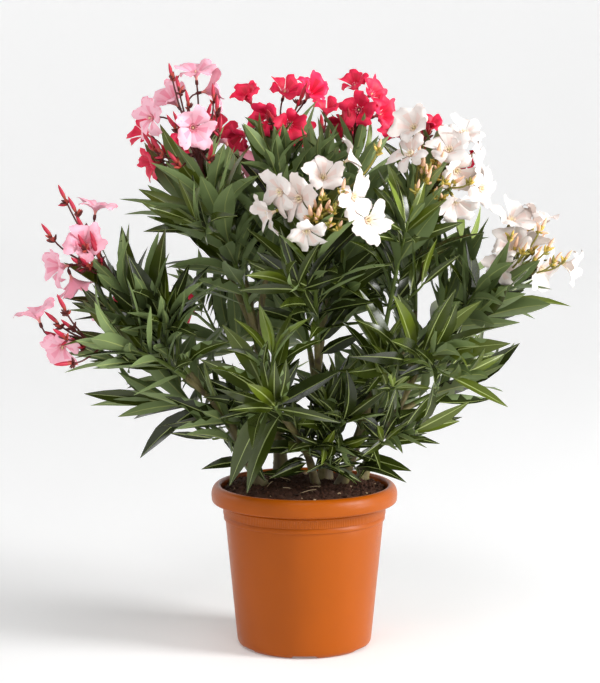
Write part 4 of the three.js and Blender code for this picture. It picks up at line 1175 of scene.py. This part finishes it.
class OLEANDER_OT_blossom(bpy.types.Operator):
    """Open the flowers: five oblique petals, a funnel, a frilled heart, a tube and its calyx"""

    bl_idname = "oleander.blossom"
    bl_label = "Blossom"

    ROWS = np.array([0, 0.16, 0.36, 0.6, 0.84, 1.0])
    COLUMNS = np.linspace(-1, 1, 7)
    THROAT = (2.2, 8)  # radius and depth of the funnel where the petals start
    SHEET = 0.35
    # Profiles of (radius, place along the facing), with their sides: tube, calyx and cone.
    PROFILES = (
        (10, ((0.5, -TUBE), (1.25, -TUBE + 0.6), (1.5, -11), (2.4, -8.4), (3.4, -6.4),
              (4.2, -5.4), (3.6, -5.6), (2.2, -7.4), (0.4, -10))),
        (10, ((0.7, -TUBE - 2.6), (1.8, -TUBE - 1), (2.0, -TUBE + 1), (1.7, -TUBE + 4),
              (1.2, -TUBE + 4.4))),
        (6, ((0.3, -10), (1.3, -7), (1.1, -4), (0.2, -1.4))),
    )
    FRILL = ((2.7, -6.4), (4.4, -1.6))  # foot and end of a spoke of the frill
    SPOKE_RADII = np.array([0.8, 1.0, 0.7, 0.15])

    def execute(self, context):
        settings = context.scene.oleander_blossom
        plant = plant_of(context)
        for number, (word, tint) in enumerate(TINTS.items()):
            flowers = plant.of_tint(plant.flowers, word)
            petals, hearts = Shape(), Shape()
            self.petals(petals, flowers, tint["cup"], np.random.default_rng(PETAL_SEED + number))
            self.hearts(hearts, flowers)
            main, deep = (np.array(getattr(settings, word + end)) for end in ("", "_deep"))
            petal, blush, throat, back = (tuple(mix(main, deep, share)) for share in tint["deep"])
            petals.piece("petals_" + word, plain(
                word, 0.55, petal=petal, petal_blush=blush, throat=throat, petal_back=back), "foliage")
            hearts.piece("hearts_" + word, plain(
                word, 0.55, tube=linear(*tint["tube"]), calyx=calyx_of(settings, tint),
                cone=linear(244, 232, 180), frill=linear(*tint["frill"])), "foliage")
        return {"FINISHED"}

    def petals(self, shape, rows, cups, dice):
        """Petal surfaces over share s outwards and place u across.

        The five petals leave the throat as a funnel, rise by the flower's own cup and bend
        back at the end. Each is a narrow claw at first, broadest near its end and cut off
        at a slant, turned a little like a propeller blade, with a wave that grows outwards.
        """
        petals = np.repeat(rows, 5, 0)
        count = len(petals)
        facing = petals[:, AXIS]
        facing, first, second = (v[:, None, None] for v in (facing, *square_to(facing)))
        turn = petals[:, TURN] + np.tile(rounds(5), len(rows)) + dice.normal(0, 0.08, count)
        out = spun(first, second, turn[:, None, None, None])
        aside = np.cross(facing, out)
        s, u = self.ROWS[:, None], self.COLUMNS
        draw = lambda low, high: dice.uniform(low, high, (count, 1, 1))
        wave = lambda: draw(0, 6.3)
        radius = petals[:, SIZE, None, None] * draw(0.92, 1.06)
        cup = mix(*cups, petals[:, CUP, None, None]) + draw(-0.12, 0.12)
        back = draw(0.0, 0.3) + 0.35 * cup
        flare = np.clip(s / 0.7, 0, 1)
        wide = radius * (0.08 + 0.37 * flare**2 * (3 - 2 * flare)) * draw(0.88, 1.08)
        end = np.clip((s - 0.76) / 0.24, 0, 1) ** 2
        wide = wide * (1 - np.where(u < 0, 0.34, 0.2) * end)
        outline = 1 + 0.1 * u * s**2 - 0.13 * u**2 * s**2 + 0.05 * s**3 * np.sin(7 * u + wave())
        throat, depth = self.THROAT
        reach = throat + (radius * (1 - 0.22 * cup) - throat) * s**1.15 * outline
        lateral = wide * u + radius * 0.1 * s**2
        height = (radius * (cup * s - back * s**3.5 + 0.09 * u * s + draw(-0.16, 0.1) * u**2 * s)
                  - depth * (1 - s) ** 2.2
                  + radius * s**2 * (0.065 * np.sin(3.8 * u + wave())
                                     + 0.035 * np.sin(7 * s + 2 * u + wave())))
        front = (petals[:, None, None, PLACE] + out * reach[..., None]
                 + aside * lateral[..., None] + facing * height[..., None])
        faces, behind, folds = sheet_form(len(s), len(u))
        across = len(u) - 1
        row, column = np.arange(len(faces)) // across % (len(s) - 1), np.arange(len(faces)) % across
        streak = (row < 1) | ((row < 3) & (np.abs(column - across / 2 + 0.5) < 1))
        blush = (petals[:, BLUSH] + dice.normal(0, 0.15, count) > 0.6).astype(int)
        tones = np.where(behind, 3, np.where(streak, 2, blush[:, None]))
        slope = unit(np.cross(np.gradient(front, axis=1), np.gradient(front, axis=2)))
        slope *= np.sign((slope * facing).sum(-1, keepdims=True).mean((1, 2), keepdims=True))
        shape.add(sheet_points(front, slope, self.SHEET), faces[:, ::-1], tones, folds)

    def hearts(self, shape, rows):
        """Tube, calyx and cone are rings carried along the facing; the frill is ten spokes."""
        facing = rows[:, AXIS]
        facing, first, second, middle = (
            v[:, None, None] for v in (facing, *square_to(facing), rows[:, PLACE]))
        for tone, (sides, profile) in enumerate(self.PROFILES):
            radii, places = np.array(profile).T[:, :, None, None]
            points = middle + spun(first, second, rounds(sides)[:, None]) * radii + facing * places
            shape.add(points.reshape(len(rows), -1, 3), tube_form(len(profile), sides), tone)
        spoke = spun(first, second, (rows[:, TURN, None] + rounds(10))[:, :, None, None])
        foot, end = (middle + spoke * radius + facing * place for radius, place in self.FRILL)
        paths = mix(foot, end, np.linspace(0, 1, 4)[:, None]).reshape(-1, 4, 3)
        radii = self.SPOKE_RADII[None, :, None] * np.ones(6)
        shape.add(tube_points(paths, radii, 6), tube_form(4, 6), 3)


class OLEANDER_OT_buds(bpy.types.Operator):
    """Add the stalks of the blossom and the pointed buds, twisted like a screw"""

    bl_idname = "oleander.buds"
    bl_label = "Stalks and buds"

    SIDES = 8
    SHARES = np.array([0, 0.14, 0.34, 0.6, 0.84, 1.0])
    YOUNG = 0.42  # share of a full bud below which a bud is calyx all over

    def execute(self, context):
        settings = context.scene.oleander_blossom
        plant = plant_of(context)
        for word, tint in TINTS.items():
            shape = Shape()
            self.buds(shape, plant.of_tint(plant.buds, word), settings.bud / MM)
            shape.piece("buds_" + word, plain(
                word, 0.5, bud_calyx=calyx_of(settings, tint), bud_body=linear(*tint["bud"]),
                bud_foot=linear(*tint["foot"])), "foliage")
        for word in ("dark", "olive"):
            shape = Shape()
            shape.add_limbs([(limb, np.linspace(0, 1, 12)) for number, limb in plant.stalks
                             if TINTS[SHOOTS[number]["head"]["tint"]]["stalk"] == word])
            shape.piece("stalks_" + word, plain(
                word, 0.5, stalk=getattr(settings, "stalk_" + word)), "foliage")
        return {"FINISHED"}

    def buds(self, shape, rows, full):
        """A spindle: its radius is a power of a sine along the bud, with five low ridges that
        turn as they climb. Small buds are calyx all over."""
        share, size, turn = self.SHARES, rows[:, SIZE, None], rows[:, TURN, None]
        paths = rows[:, None, PLACE] + rows[:, None, AXIS] * (size * full * share)[..., None]
        swell = np.sin(np.pi * share**0.9) ** 0.8 + 0.06
        ridge = 1 + 0.1 * np.cos(5 * rounds(self.SIDES) - 5 * share[:, None] + turn[..., None])
        girth = mix(1.2, 2.4, np.clip(size * 1.3 - 0.2, 0, 1))[..., None]
        faces = tube_form(len(share), self.SIDES)
        station = np.arange(len(faces)) // self.SIDES
        tone = np.select([station < 1, station < 2], [0, 2], 1)
        tone = np.where(size < self.YOUNG, np.where(turn < 2, 0, 2), tone)
        shape.add(tube_points(paths, girth * swell[:, None] * ridge, self.SIDES), faces, tone)


class OLEANDER_OT_stage(bpy.types.Operator):
    """Set the floor with its rising backdrop, the soft lights and the camera"""

    bl_idname = "oleander.stage"
    bl_label = "Stage"

    FLOOR_REACH, COVE, WALL = 6.0, 3.0, 6.0
    SIDES = 96
    AIM = np.array([0, 0, 0.35])  # what the lights point at
    # Lights: name, which is also their setting's, place and size.
    LIGHTS = (("key", (2.9, -1.1, 1.8), 1.1), ("top", (-0.2, -1.6, 3.0), 1.3),
              ("edge", (-2.4, 1.2, 1.6), 1.0), ("strip", (2.6, -0.75, 0.3), 0.5))
    PAINTED_LIGHT_NEAR = 0.42  # painted light: glow of the floor under the plant as a share of the backdrop's, which leaves the floor there darker
    TILT = 0.1263  # how far the camera looks down

    def execute(self, context):
        stage = context.scene.oleander_stage
        self.floor(stage)
        for name, place, size in self.LIGHTS:
            lamp = bpy.data.lights.new(name + "_light", "AREA")
            lamp.energy, lamp.size = getattr(stage, name), size
            x, y, z = unit(self.AIM - np.array(place))
            placed(lamp.name, lamp, place, (math.pi / 2 + math.asin(z), 0, math.atan2(-x, y)))
        world = bpy.data.worlds.new("Soft studio")
        world.use_nodes = True
        sky = world.node_tree.nodes["Background"]
        sky.inputs["Color"].default_value = (1, 1, 1, 1)
        sky.inputs["Strength"].default_value = stage.sky
        context.scene.world = world
        camera = bpy.data.cameras.new("camera")
        camera.lens, camera.sensor_width, camera.clip_end = stage.lens, 36, 50
        context.scene.camera = placed("camera", camera, (-0.0049, -2.4, 0.65),
                                      (math.pi / 2 - self.TILT, 0, 0))
        context.scene.view_settings.view_transform = "Standard"
        return {"FINISHED"}

    def floor(self, stage):
        """A round floor that rises into a backdrop, and glows with painted light: more away from the
        plant, less under it.
        """
        profile = np.concatenate([
            [(0.01, 0), (0.6, 0), (1.5, 0), (3, 0)],
            arc((self.FLOOR_REACH, self.COVE), (self.COVE, self.COVE), -90, 0, 16),
            [(self.FLOOR_REACH + self.COVE, self.WALL)],
        ])
        points = turned_points(*profile.T, self.SIDES)
        lid = self.SIDES // 2 - 1  # faces that would close the top
        faces = tube_form(len(profile), self.SIDES)[:-lid, ::-1]
        mesh = bpy.data.meshes.new("studio_floor")
        mesh.from_pydata(points.reshape(-1, 3).tolist(), [], faces.tolist())
        mesh.polygons.foreach_set("use_smooth", np.full(len(mesh.polygons), True))
        # Painted light: the floor's emission brightens floor and backdrop from within, weaker under
        # the plant than far off.
        finish = Finish("Studio floor", stage.floor, 0.9, Emission_Strength=1.0)
        reach = Signal(finish, finish.node("ShaderNodeVectorMath", {"operation": "LENGTH"},
                                           finish.place()).outputs["Value"])
        far = (reach - 0.4) * (1 / self.COVE)
        near, glow = ((share * stage.glow,) * 3 for share in (self.PAINTED_LIGHT_NEAR, 1))
        finish.put("Emission Color", finish.blend(far.math("SMOOTH_MIN", far, 1.0, 0.2), near, glow))
        mesh.materials.append(finish.material)
        placed("studio_floor", mesh)


# ------------------------------------------------------------------- panel and start

OPERATORS = (OLEANDER_OT_stage, OLEANDER_OT_pot, OLEANDER_OT_soil, OLEANDER_OT_stems,
             OLEANDER_OT_twigs, OLEANDER_OT_leaves, OLEANDER_OT_blossom, OLEANDER_OT_buds)


class OLEANDER_PT_panel(bpy.types.Panel):
    """Lists the plant's settings and the pieces that can be built."""

    bl_label = "Potted Oleander"
    bl_idname = "OLEANDER_PT_panel"
    bl_space_type = "VIEW_3D"
    bl_region_type = "UI"
    bl_category = "Oleander"

    def draw(self, context):
        for key, group in SETTINGS.items():
            box = self.layout.box()
            for name in group.__annotations__:
                box.prop(getattr(context.scene, key), name)
        for operator in OPERATORS:
            self.layout.operator(operator.bl_idname)


def register():
    """Makes the settings, operators and panel known to Blender."""
    for group in (*SETTINGS.values(), *OPERATORS, OLEANDER_PT_panel):
        bpy.utils.register_class(group)
    for key, group in SETTINGS.items():
        setattr(bpy.types.Scene, key, bpy.props.PointerProperty(type=group))


def unregister():
    """Takes them away again."""
    for key in SETTINGS:
        delattr(bpy.types.Scene, key)
    for group in (OLEANDER_PT_panel, *OPERATORS, *SETTINGS.values()):
        bpy.utils.unregister_class(group)


def main():
    """Builds every piece."""
    register()
    for operator in OPERATORS:
        family, name = operator.bl_idname.split(".")
        getattr(getattr(bpy.ops, family), name)()
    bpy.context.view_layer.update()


if __name__ == "__main__":
    main()
